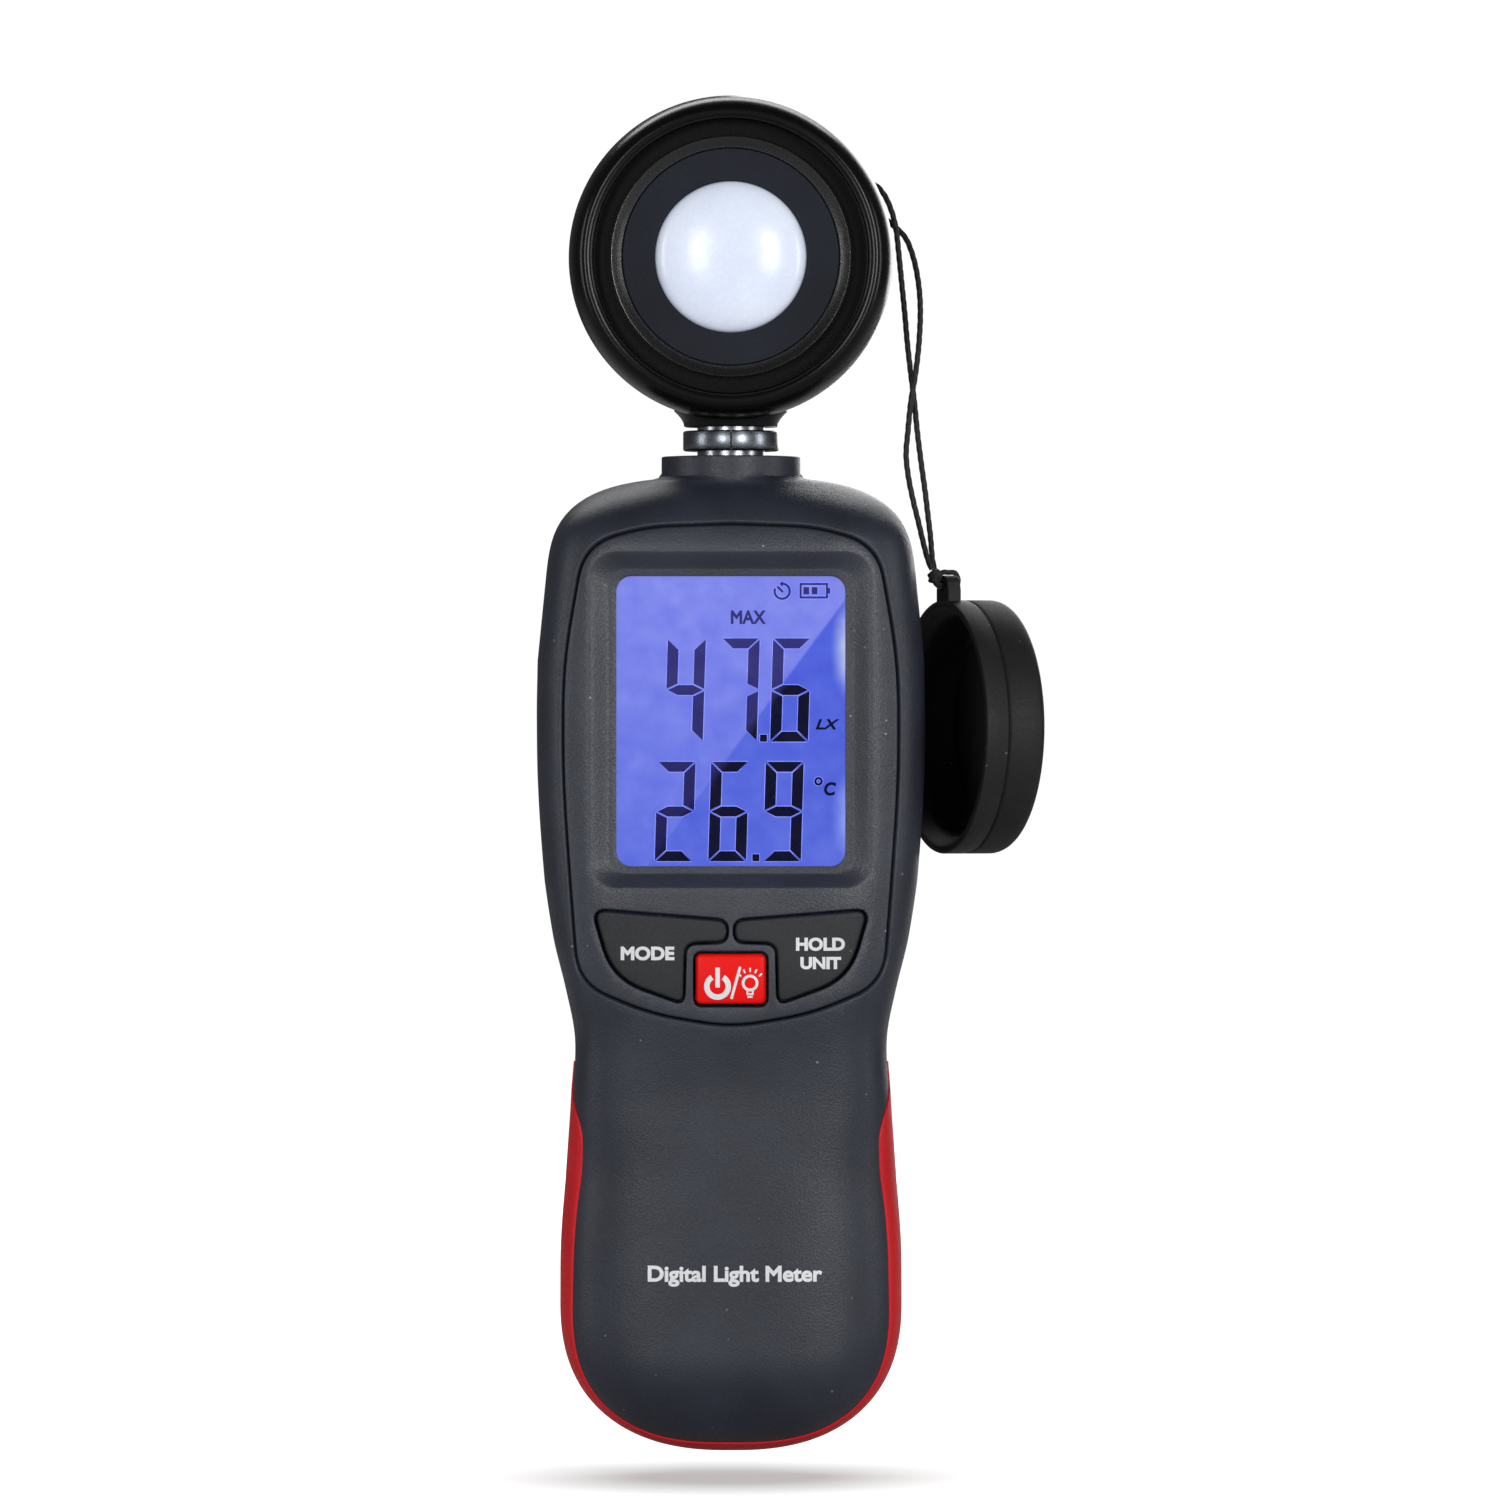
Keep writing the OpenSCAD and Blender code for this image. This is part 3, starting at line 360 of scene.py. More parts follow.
def quads(rows, cols, closed=True, looped=False, first=0):
    """Faces over rows of cols points that follow each other from number first. Each row closes on itself
    where closed, and the last row meets the first where looped."""
    faces = []
    for i in range(rows if looped else rows - 1):
        a, b = first + i * cols, first + (i + 1) % rows * cols
        for j in range(cols if closed else cols - 1):
            k = (j + 1) % cols
            faces.append((a + j, a + k, b + k, b + j))
    return faces


def end_caps(rows, cols):
    """Faces that close the first and the last row."""
    return [tuple(range(cols))[::-1], tuple((rows - 1) * cols + j for j in range(cols))]


CORD_STRANDS, CORD_TURN, CORD_SIDES, CORD_PLUMP = 3, 1.35, 18, 0.2


def twisted(path, r):
    """A twisted cord along a path: its strands wind round it, and its ends are closed."""
    us, ws = crossways(path)
    run = np.concatenate([[0], np.cumsum(np.linalg.norm(np.diff(path, axis=0), axis=1))])
    verts = []
    for c, u, w, s in zip(path, us, ws, run):
        for j in range(CORD_SIDES):
            a = 2 * math.pi * j / CORD_SIDES
            lobe = abs(math.cos(CORD_STRANDS / 2 * (a - 2 * math.pi * s / CORD_TURN / CORD_STRANDS)))
            rr = r * (1 - CORD_PLUMP * (1 - lobe) ** 1.6)
            verts.append(c + rr * (u * math.cos(a) + w * math.sin(a)))
    return verts, quads(len(path), CORD_SIDES) + end_caps(len(path), CORD_SIDES)


CORD_STEP, HITCH_STEP, LOOSE = 0.22, 0.2, 1.06
cord_path = spline(CORD_ROUTE, CORD_STEP)
cord = piece("cap_cord_twisted", twisted(cord_path, CORD_D / 2 * LOOSE), "cord", "hanging_cap", ["cap_cord"],
             sharp=70)

CAP_C, CAP_TURN = np.array([28.2, -10.5, 36.5]), math.radians(20)
CAP_AX = np.array([math.cos(CAP_TURN), math.sin(CAP_TURN), 0])
CAP_SIDE = np.array([-math.sin(CAP_TURN), math.cos(CAP_TURN), 0])
CAP_R = 17.0
LUG_EYE, LUG_R, LUG_W, LUG_T = 1.9, 1.4, 4.4, 1.9


def cap_at(u, side, up):
    """A point of the lens cap: depth from its mouth, sideways, and height over its centre."""
    return CAP_C + CAP_AX * u + CAP_SIDE * side + np.array([0, 0, up])


def ball(centre, r, rows=10, cols=16):
    """A ball, its poles up and down."""
    centre = np.array(centre)
    verts, faces = [centre + [0, 0, r]], []
    for i in range(1, rows):
        a = math.pi * i / rows
        for j in range(cols):
            b = 2 * math.pi * j / cols
            verts.append(centre + [r * math.sin(a) * math.cos(b), r * math.sin(a) * math.sin(b),
                                   r * math.cos(a)])
    verts.append(centre - [0, 0, r])
    last = 1 + (rows - 2) * cols
    for j in range(cols):
        k = (j + 1) % cols
        faces += [(0, 1 + j, 1 + k), (last + j, len(verts) - 1, last + k)]
    return verts, faces + quads(rows - 1, cols, first=1)


def joined(shapes):
    verts, faces = [], []
    for v, f in shapes:
        n = len(verts)
        verts += list(v)
        faces += [tuple(i + n for i in g) for g in f]
    return verts, faces


NEAR, FAR = 0.1 - CORD_D / 2 - 0.08, 0.1 + LUG_T + CORD_D / 2 + 0.08
EYE_UP, TOP_UP = CAP_R + LUG_EYE, CAP_R + LUG_EYE + LUG_R + CORD_D / 2 + 0.05
hitch_over = spline([cap_at(u, s, z) for u, s, z in [
    (NEAR - 0.9, -0.5, EYE_UP + 0.9), (NEAR - 0.5, -0.4, EYE_UP + 0.2), (NEAR, -0.1, EYE_UP),
    (0.8, 0, EYE_UP), (1.3, 0, EYE_UP), (FAR - 0.25, 0.1, EYE_UP), (FAR, 0.2, EYE_UP + 0.5),
    (FAR, 0.3, EYE_UP + 1.1), (FAR - 0.35, 0.35, TOP_UP - 0.1), (1.2, 0.35, TOP_UP), (0.4, 0.3, TOP_UP),
    (-0.2, 0.1, TOP_UP - 0.35), (-0.55, -0.2, TOP_UP - 0.9), (-0.75, -0.3, TOP_UP - 1.5)]], HITCH_STEP)
hitch_wrap = spline([[27.75, -10.5, 57.35], [27.3, -11.25, 57.25], [26.75, -11.0, 56.9],
                     [26.7, -10.3, 56.75], [27.2, -9.9, 56.9], [27.75, -10.2, 57.0],
                     [27.7, -10.9, 56.8], [27.2, -11.2, 56.5], [26.75, -10.8, 56.2],
                     [26.9, -10.2, 56.1], [27.4, -10.1, 56.2], [27.7, -10.5, 56.2]], HITCH_STEP)
knot = piece("cord_hitch", joined([twisted(hitch_over, CORD_D / 2), twisted(hitch_wrap, CORD_D / 2 * 0.95),
                                   ball([27.2, -10.65, 56.7], 0.6)]),
             "cord", "hanging_cap", ["cord_knot"], sharp=70)


# ---------------------------------------------------------------- the body's form
HALF_D, GRIP_HALF_W, BODY_BOTTOM, NECK_TOP, NECK_R = 15.5, 22.6, -59.9, 72.7, 9.25
WAIST = np.array([[-40, 22.6], [-32, 22.5], [-24, 21.9], [-12, 21.1], [-5, 20.8], [1, 21.9],
                  [8, 23.6], [16, 24.85], [28, 25.7], [38, 25.9], [45, 25.8]])
GRIP_Z, SHOULDER_Z, NECK_BLEND = -40, 45, 1.0
# Where each outline starts to close in, over what length, and how squarely.
SIDE_LOW, SIDE_TOP = (-40, 19.9, 2.4), (56, 13.8, 3.3)
FRONT_LOW, FRONT_TOP = (-46, 13.9, 2.3), (53, 16.8, 3)
BACK_LOW, BACK_TOP = (-51, 8.9, 2.3), (55, 14.8, 3)
SHOULDER_W, SHOULDER_TAPER, GRIP_D, GRIP_DROP = 25.8, 0.1, 13.5, 2


def falloff(t, p):
    """From 1 at t = 0 to 0 at t = 1, along a superellipse of power p."""
    return np.maximum(0, 1 - np.clip(t, 0, 1) ** p) ** (1 / p)


def closing(z, start, length, power):
    """falloff over a length from a height, downwards below the body's middle and upwards above it."""
    return falloff((z - start if start > 0 else start - z) / length, power)


def ease(t):
    """From 0 to 1, starting and ending gently."""
    t = np.clip(t, 0, 1)
    return t * t * (3 - 2 * t)


def smooth_max(a, b, k):
    """The larger of two lengths, with a fillet of about k where they cross."""
    return (a + b + np.sqrt((a - b) ** 2 + k * k)) / 2


def waist_at(z):
    """Half the body's width between the grip and the shoulders."""
    i = np.clip(np.searchsorted(WAIST[:, 0], z, side="right") - 1, 0, len(WAIST) - 2)
    p, n = WAIST[:, 1], len(WAIST) - 1
    t = (z - WAIST[i, 0]) / (WAIST[i + 1, 0] - WAIST[i, 0])
    return through(p[np.maximum(i - 1, 0)], p[i], p[np.minimum(i + 1, n)], p[np.minimum(i + 2, n)], t)


def half_w(z):
    """Half the body's width at a height."""
    z = np.asarray(z, float)
    top = (SHOULDER_W - SHOULDER_TAPER * (z - SHOULDER_Z)) * closing(z, *SIDE_TOP)
    top = smooth_max(top, NECK_R, NECK_BLEND)
    middle = waist_at(np.clip(z, GRIP_Z, SHOULDER_Z))
    return np.where(z <= GRIP_Z, GRIP_HALF_W * closing(z, *SIDE_LOW), np.where(z < SHOULDER_Z, middle, top))


def front_d(z):
    """The body's depth in front of its axis at a height."""
    z = np.asarray(z, float)
    low = GRIP_D * closing(z, *FRONT_LOW)
    middle = HALF_D - GRIP_DROP * (1 - ease((z + 14) / 20))
    top = smooth_max(HALF_D * closing(z, *FRONT_TOP), NECK_R, NECK_BLEND)
    return np.where(z < FRONT_LOW[0], low, np.where(z < 6, middle, np.minimum(top, HALF_D)))


def back_d(z):
    """The body's depth behind its axis at a height."""
    z = np.asarray(z, float)
    top = smooth_max(HALF_D * closing(z, *BACK_TOP), NECK_R, NECK_BLEND)
    return np.where(z < 0, HALF_D * closing(z, *BACK_LOW), np.minimum(top, HALF_D))


def square_back(z):
    """How square the plan section is behind the axis, as a superellipse's power."""
    return 4.2 - 2.2 * ease((z - 62) / 7.6)


def square_front(z):
    return square_back(z) - 1.2 * ease((-8 - z) / 16)


# Arc position u round a typical section, and v up the body, both about as long as on the skin itself.
PSI = np.linspace(0, math.pi / 2, 4001)
ARC_SQUARE, ARC_HALF_W, SIDE_SHARE, FRONT_SHARE = 4.2, 25, 0.75, 0.5
ARC_DEN = (np.sin(PSI) ** ARC_SQUARE + np.cos(PSI) ** ARC_SQUARE) ** (1 / ARC_SQUARE)
ARC = np.concatenate([[0], np.cumsum(np.hypot(np.diff(ARC_HALF_W * np.sin(PSI) / ARC_DEN),
                                              np.diff(HALF_D * np.cos(PSI) / ARC_DEN)))])
U_MAX = ARC[-1]
Z_TABLE = np.linspace(BODY_BOTTOM, NECK_TOP, 8001)
V_OF_Z = np.concatenate([[0], np.cumsum(np.sqrt(
    np.diff(Z_TABLE) ** 2 + (SIDE_SHARE * np.diff(half_w(Z_TABLE))) ** 2
    + (FRONT_SHARE * np.diff(front_d(Z_TABLE))) ** 2))])
BACK_FULLNESS, BACK_CORNER = 0.06, 4e-4


def v_of(z):
    return np.interp(z, Z_TABLE, V_OF_Z)


def z_of(v):
    return np.interp(v, V_OF_Z, Z_TABLE)


def fullness(z):
    """How far the back is pushed out before it is cut flat."""
    return 1 + BACK_FULLNESS * np.clip((back_d(z) - NECK_R) / 6, 0, 1)


def body_surface(front):
    """The body's skin as a function of arc position u and height v."""
    def at(u, v):
        u, z = np.asarray(u, float), z_of(v)
        psi = np.interp(np.abs(u), ARC, PSI)
        n = square_front(z) if front else square_back(z)
        s, c = np.sin(psi), np.cos(psi)
        den = (s ** n + c ** n) ** (1 / n)
        x = half_w(z) * s / den * np.sign(u)
        depth = c / den
        if front:
            y = AXIS_Y - front_d(z) * depth
        else:
            full = fullness(z) * depth
            y = AXIS_Y + back_d(z) * np.minimum((full + 1 - np.sqrt((full - 1) ** 2 + BACK_CORNER)) / 2, 1)
        return np.stack([x, y, z], -1)
    return at


def to_uv(front, xz):
    """Where points of a plan in x and z lie on the body's skin."""
    x, z = np.asarray(xz, float).T
    n = square_front(z) if front else square_back(z)
    X = np.clip(np.abs(x) / half_w(z), 0, 0.9999)
    Y = (1 - X ** n) ** (1 / n)
    psi = np.arctan2(X, Y)
    return np.stack([np.sign(x) * np.interp(psi, PSI, ARC), v_of(z)], -1)


def face_y(x, z):
    """Depth of the body's front at x and z."""
    n = square_front(z)
    X = np.clip(np.abs(x) / half_w(z), 0, 0.999)
    return AXIS_Y - front_d(z) * (1 - X ** n) ** (1 / n)


# ---------------------------------------------------------------- outlines
def rounded(pts, steps=8):
    """A closed line through corners of x, z and how far before the corner its rounding starts."""
    out, n = [], len(pts)
    for i in range(n):
        p = np.array(pts[i][:2], float)
        a, b = np.array(pts[i - 1][:2]) - p, np.array(pts[(i + 1) % n][:2]) - p
        q, r = p + a / np.linalg.norm(a) * pts[i][2], p + b / np.linalg.norm(b) * pts[i][2]
        for k in range(steps + 1):
            t = k / steps
            out.append((1 - t) ** 2 * q + 2 * t * (1 - t) * p + t * t * r)
    return np.array(out)


def resample(loop, step):
    """A closed line again, with even steps, smoothly enough for an edge."""
    p = np.vstack([loop, loop[:1]])
    s = np.concatenate([[0], np.cumsum(np.linalg.norm(np.diff(p, axis=0), axis=1))])
    keep = np.concatenate([[True], np.diff(s) > 1e-9])
    p, s = p[keep], s[keep]
    n = max(12, int(round(s[-1] / step)))
    t = np.arange(n) * s[-1] / n
    return np.stack([np.interp(t, s, p[:, 0]), np.interp(t, s, p[:, 1])], -1)


def ccw(loop):
    """A loop, turned round if it runs clockwise."""
    x, y = loop.T
    area = np.sum(x * np.roll(y, -1) - np.roll(x, -1) * y)
    return loop if area > 0 else loop[::-1]


def out_dirs(loop):
    """Unit directions out of a loop that runs anticlockwise."""
    e = np.roll(loop, -1, 0) - np.roll(loop, 1, 0)
    n = np.stack([e[:, 1], -e[:, 0]], -1)
    return n / np.linalg.norm(n, axis=1)[:, None]


def grown(loop, d):
    """A loop moved outwards by d."""
    loop = ccw(loop)
    return loop + out_dirs(loop) * d


def box_loop(w, z0, z1, r, steps=8):
    return rounded([[-w, z0, r], [w, z0, r], [w, z1, r], [-w, z1, r]], steps)


def circle(x, z, r, n=40):
    a = np.arange(n) * 2 * math.pi / n
    return np.stack([x + r * np.cos(a), z + r * np.sin(a)], -1)


def crossings(loop, pts):
    """For each side of a loop, whether it goes up, and which points have it on their right."""
    x, y = pts.T
    for (x0, y0), (x1, y1) in zip(loop, np.roll(loop, -1, 0)):
        if y0 != y1:
            yield y1 > y0, ((y0 > y) != (y1 > y)) & (x < (x1 - x0) * (y - y0) / (y1 - y0) + x0)


def inside(loop, pts):
    """Which points are inside a loop."""
    res = np.zeros(len(pts), bool)
    for _, hit in crossings(loop, pts):
        res ^= hit
    return res


def winding(loops, pts):
    """How many times the loops run round each point."""
    return sum(np.where(hit, 1 if up else -1, 0) for loop in loops for up, hit in crossings(loop, pts))


def edge_distance(loop, pts):
    best = np.full(len(pts), 1e9)
    for a, b in zip(loop, np.roll(loop, -1, 0)):
        d = b - a
        t = np.clip(((pts - a) @ d) / max(d @ d, 1e-12), 0, 1)
        best = np.minimum(best, np.linalg.norm(pts - (a + t[:, None] * d), axis=1))
    return best


def triangulated(loops, keep, extra=(), tolerance=1e-7):
    """Points and triangles over loops and extra points, where keep is true of a triangle's middle."""
    pts, edges = [], []
    for loop in loops:
        n = len(pts)
        pts += [Vector(p) for p in loop]
        edges += [(n + i, n + (i + 1) % len(loop)) for i in range(len(loop))]
    res = delaunay_2d_cdt(pts + [Vector(p) for p in extra], edges, [], 0, tolerance)
    flat = np.array([tuple(p) for p in res[0]])
    tris = np.array([t for t in res[2] if len(t) == 3])
    return flat, tris[keep(flat[tris].mean(1))]


# ---------------------------------------------------------------- a skin with edges, as a closed solid
ROUND = np.radians([18, 36, 54, 72, 90])
PROBE, EDGE_PROBE, CLEAR_OF_EDGE = 0.02, 0.05, 0.45


def unit(vectors):
    return vectors / np.maximum(np.linalg.norm(vectors, axis=1), 1e-12)[:, None]


def skin(surface, outer, holes, spacing, thick, lines=None, sign=1):
    """Closed solid from a surface over a plan. outer and each hole is (loop, edge radius, wall depth), or
    (loop, function of its points and normals that gives rings). The loops are the ends of the flat part:
    the rounding goes beyond them. lines gives the grid's places, and sign is -1 for a surface whose
    normals point in."""
    entries = [outer] + list(holes)
    plans = [entry[0] for entry in entries]
    us, vs = lines or [np.arange(low + spacing / 2, high, spacing)
                       for low, high in zip(plans[0].min(0), plans[0].max(0))]
    shift = 0 if lines else spacing / 2
    grid = np.array([(u + k % 2 * shift, v) for k, v in enumerate(vs) for u in us])
    for plan in plans:
        grid = grid[inside(plan, grid) == (plan is plans[0])]
        grid = grid[edge_distance(plan, grid) > spacing * CLEAR_OF_EDGE]

    def wanted(mid):
        ok = inside(plans[0], mid)
        for plan in plans[1:]:
            ok &= ~inside(plan, mid)
        return ok

    def laid(q):
        """Points of the plan on the surface, with the normals there."""
        u, v = q.T
        du = surface(u + PROBE, v) - surface(u - PROBE, v)
        dv = surface(u, v + PROBE) - surface(u, v - PROBE)
        return surface(u, v), unit(np.cross(du, dv)) * sign

    flat, tris = triangulated(plans, wanted, grid)
    top, normal = laid(flat)
    n = len(top)
    verts = list(top) + list(top - normal * thick)
    faces = [tuple(t) for t in tris] + [tuple(n + i for i in t[::-1]) for t in tris]
    for plan, *edge in entries:
        base, normal = laid(plan)
        if callable(edge[0]):
            rings = edge[0](base, normal)
        else:
            r, depth = edge
            away = out_dirs(plan) * (1 if (ccw(plan) is plan) == (plan is plans[0]) else -1)
            step = unit(surface(*(plan + away * EDGE_PROBE).T) - base)
            rings = [base + step * r * math.sin(a) - normal * r * (1 - math.cos(a)) for a in ROUND]
            rings.append(rings[-1] - normal * depth)
        rings = [base] + list(rings) + [base - normal * thick]
        faces += quads(len(rings), len(plan), first=len(verts))
        verts += [point for ring in rings for point in ring]
    return verts, faces


FRONT, BACK = body_surface(True), body_surface(False)
GAP, PANEL_STEP = 0.25, 0.7
PANEL_HALF = [[11, 62.9, 3], [19.4, 60.6, 4.5], [22.2, 45, 6], [22.3, 30, 7], [21.1, 13, 5],
              [20.3, 2.6, 4.2], [10.5, -1.4, 3.6]]
PANEL_CORNERS = [[0, 63.3, 1]] + PANEL_HALF + [[0, -3.2, 4]] + [[-x, z, r] for x, z, r in PANEL_HALF[::-1]]
PANEL = ccw(resample(rounded(PANEL_CORNERS, 10), PANEL_STEP))


def domain_loop():
    """The plan of a whole half of the body, short of the rounding at its edges."""
    u_in, v0, v1 = U_MAX - SHELL_EDGE, v_of(SHELL_LOW), v_of(NECK_TOP) - SHELL_TOP_IN
    us, vs = np.linspace(-u_in, u_in, int(2 * u_in) + 1), np.linspace(v0, v1, int(v1 - v0) + 1)
    return np.array([(u, v0) for u in us] + [(u_in, v) for v in vs[1:]] + [(u, v1) for u in us[::-1][1:]]
                    + [(-u_in, v) for v in vs[::-1][1:-1]])


# front shell
SHELL_EDGE, SHELL_LIP, SHELL_LOW, SHELL_TOP_IN, SHELL_GRID, WALL = 0.2, 0.8, -59.7, 0.35, 1.05, 1.7
R_EDGE, PANEL_SEAT = 0.38, 1.9
SHELL_PLAN = (domain_loop(), SHELL_EDGE, SHELL_LIP)
hole = to_uv(True, grown(PANEL, GAP + R_EDGE))
piece("front_shell", skin(FRONT, SHELL_PLAN, [(hole, R_EDGE, PANEL_SEAT)], SHELL_GRID, WALL), "housing",
      "meter_body", ["front_housing"])


# face panel
def face_surface(x, z):
    return np.stack([x, face_y(x, z), z], -1)


WINDOW_W, WINDOW_Z0, WINDOW_Z1, WINDOW_R = 15.15, 18.0, 56.4, 2.0
FLOOR_Y, LEDGE_Y = -29.0, -28.45
# The recess round the display: half width, lower and upper end and corner radius, at its crest and foot.
CREST, FOOT = np.array([18.75, 15.05, 59.75, 3.5]), np.array([16.05, 17.1, 57.3, 2.4])
WALL_SHAPE = [(0.06, 0.03), (0.13, 0.11), (0.21, 0.24), (0.3, 0.42), (0.5, 0.92), (0.72, 1.47), (0.86, 1.78),
              (0.94, 1.92), (1.0, 1.97)]
BOX_CORNER, BOX_SIDE = 10, 26


def box_ring(w, z0, z1, r):
    """A rounded box whose points keep their places as its size changes."""
    corners, right, low, high = [], w - r, z0 + r, z1 - r
    for cx, cz, start in ((right, low, -90), (right, high, 0), (-right, high, 90), (-right, low, 180)):
        angles = [math.radians(start + 90 * k / BOX_CORNER) for k in range(BOX_CORNER + 1)]
        corners.append([(cx + r * math.cos(a), cz + r * math.sin(a)) for a in angles])
    out = []
    for corner, after in zip(corners, corners[1:] + corners[:1]):
        a, b = corner[-1], after[0]
        out += corner + [(a[0] + (b[0] - a[0]) * k / BOX_SIDE, a[1] + (b[1] - a[1]) * k / BOX_SIDE)
                         for k in range(1, BOX_SIDE)]
    return ccw(np.array(out))


def recess_rings(base, normals):
    """Down from the crest, over the sloping wall, to the ledge and the opening."""
    height, full = base[:, 1], WALL_SHAPE[-1][1]
    levels = [(CREST + (FOOT - CREST) * t, height + (FLOOR_Y - height) * min(1, drop / full))
              for t, drop in WALL_SHAPE]
    opening = (WINDOW_W, WINDOW_Z0, WINDOW_Z1, WINDOW_R)
    levels += [(size, np.full(len(base), y)) for size, y in (
        ((15.35, 17.8, 56.6, 2.1), FLOOR_Y), ((15.18, 17.97, 56.43, 2.0), FLOOR_Y + 0.06),
        (opening, FLOOR_Y + 0.2), (opening, LEDGE_Y))]
    rings = [(box_ring(*size), y) for size, y in levels]
    return [np.stack([ring[:, 0], y, ring[:, 1]], -1) for ring, y in rings]


KEY = rounded([[-18.2, 12.2, 1.8], [-0.5, 10.8, 1.3], [-0.6, 8.1, 1.1], [-6.1, 7.9, 1.6],
               [-6.3, -0.1, 1.2], [-15.6, 3.3, 4.2]], 8)
KEY_L = ccw(resample(KEY, 0.4))
KEY_R = ccw(KEY_L * [-1, 1])
KEY_P = ccw(resample(box_loop(4.7, -0.3, 6.5, 0.9), 0.35))
R_KEY, KEY_GAP = 0.18, 0.3


def straight_hole(loop, r, depth):
    """A hole through the panel whose edge is rounded and whose wall runs front to back, as its key moves."""
    into = -out_dirs(loop)
    way = np.stack([into[:, 0], np.zeros(len(loop)), into[:, 1]], -1)

    def rings(base, normals):
        out = [base + way * r * math.sin(a) + [0, r * (1 - math.cos(a)), 0] for a in ROUND]
        return out + [out[-1] + [0, depth, 0]]
    return loop, rings


PANEL_EDGE, PANEL_GRID, PANEL_THICK, KEY_HOLE_DEPTH = 0.38, 0.9, 2.1, 1.6
openings = [(box_ring(*CREST), recess_rings)]
openings += [straight_hole(grown(k, KEY_GAP + R_KEY), R_KEY, KEY_HOLE_DEPTH) for k in (KEY_L, KEY_R, KEY_P)]
panel_plan = (grown(PANEL, -PANEL_EDGE), PANEL_EDGE, PANEL_SEAT)
piece("face_panel_moulding", skin(face_surface, panel_plan, openings, PANEL_GRID, PANEL_THICK), "panel",
      "meter_body", ["face_panel"])

# keys
KEY_SINK, POWER_SINK, POWER_CROWN, POWER_Z, POWER_HALF = 0.5, 0.25, 0.25, 3.1, (4.9, 3.6)
KEY_EDGE, POWER_EDGE = 0.36, 0.55


def key_face(x, z):
    return face_y(x, z) + KEY_SINK


def power_face(x, z):
    """The power key's front, slightly crowned."""
    crown = POWER_CROWN * (1 - (x / POWER_HALF[0]) ** 2) * (1 - ((z - POWER_Z) / POWER_HALF[1]) ** 2)
    return face_y(x, z) + POWER_SINK - crown


def key(name, loop, face, edge, depth, spacing, thick, finish, body, node):
    """A key's moulding under a face, given as its depth at x and z."""
    piece(name, skin(lambda x, z: np.stack([x, face(x, z), z], -1), (grown(loop, -edge), edge, depth), [],
                     spacing, thick), finish, body, [node])


key("mode_key_top", KEY_L, key_face, KEY_EDGE, 2.2, 0.8, 2.2, "dark_key", "mode_key", "mode_button")
key("hold_unit_key_top", KEY_R, key_face, KEY_EDGE, 2.2, 0.8, 2.2, "dark_key", "hold_unit_key",
    "hold_unit_button")
key("power_key_top", KEY_P, power_face, POWER_EDGE, 2.6, 0.5, 2.8, "red_key", "power_key", "power_button")

# ---------------------------------------------------------------- display
def slab(loop, y_front, y_back, edge=0.0):
    """A flat shape between two depths, its front edge cut by edge."""
    loop = ccw(np.asarray(loop, float))
    rings = [(loop, y_front), (loop, y_back)]
    if edge:
        rings = [(grown(loop, -edge), y_front), (loop, y_front + edge), (loop, y_back)]
    verts = [(x, y, z) for ring, y in rings for x, z in ring]
    return verts, quads(len(rings), len(loop)) + end_caps(len(rings), len(loop))


PANE_GAP = 0.06
pane = box_ring(WINDOW_W - PANE_GAP, WINDOW_Z0 + PANE_GAP, WINDOW_Z1 - PANE_GAP, 1.95)
piece("display_window_pane", slab(pane, -28.85, -27.4, 0.08), "window", "meter_body", ["display_window"])
cell = box_ring(16.4, 13.9, 57.4, 0.4)
piece("lcd_cell", slab(cell, -26.8, -24.6, 0.1), "lcd", "meter_body", ["lcd_glass"])

SLANT = math.tan(math.radians(1.7))
SEG_ON = {"2": "abged", "4": "fgbc", "6": "afgedc", "7": "abc", "9": "abcdfg"}
BAR_V, BAR_H, MITRE = 1.46, 1.34, 0.17
LCD_Y, LCD_BACK, EDGE_BACK, EDGE_SINK, EDGE_OUT = -26.92, -26.78, -26.76, 0.05, 0.1


def seg_shapes(w, h):
    """The seven bars of a digit, mitred into each other, from its lower left corner."""
    m, g, tv, th = h / 2, MITRE, BAR_V, BAR_H
    a = [(g, h), (w - g, h), (w - tv - g * 0.3, h - th), (tv + g * 0.3, h - th)]
    f = [(0, h - g), (0, m + g), (tv, m + th / 2 + g), (tv, h - th - g)]
    mid = [(g, m), (tv + g * 0.4, m + th / 2), (w - tv - g * 0.4, m + th / 2), (w - g, m),
           (w - tv - g * 0.4, m - th / 2), (tv + g * 0.4, m - th / 2)]
    d, e = ([(x, h - z) for x, z in bar] for bar in (a, f))
    b, c = ([(w - x, z) for x, z in bar] for bar in (f, e))
    return {"a": a, "b": b, "c": c, "d": d, "e": e, "f": f, "g": mid}


def stroke(points, w, closed=False):
    """Outline of a line of width w through points."""
    p = np.array(points, float)
    q = np.vstack([p[-1:], p, p[:1]]) if closed else np.vstack([2 * p[:1] - p[1:2], p, 2 * p[-1:] - p[-2:-1]])
    d0, d1 = q[1:-1] - q[:-2], q[2:] - q[1:-1]
    d0, d1 = d0 / np.linalg.norm(d0, axis=1)[:, None], d1 / np.linalg.norm(d1, axis=1)[:, None]
    t = d0 + d1
    t /= np.linalg.norm(t, axis=1)[:, None]
    n = np.stack([-t[:, 1], t[:, 0]], -1)
    reach = w / 2 / np.maximum(0.4, np.sum(t * d0, axis=1))[:, None]
    return p + n * reach, p - n * reach


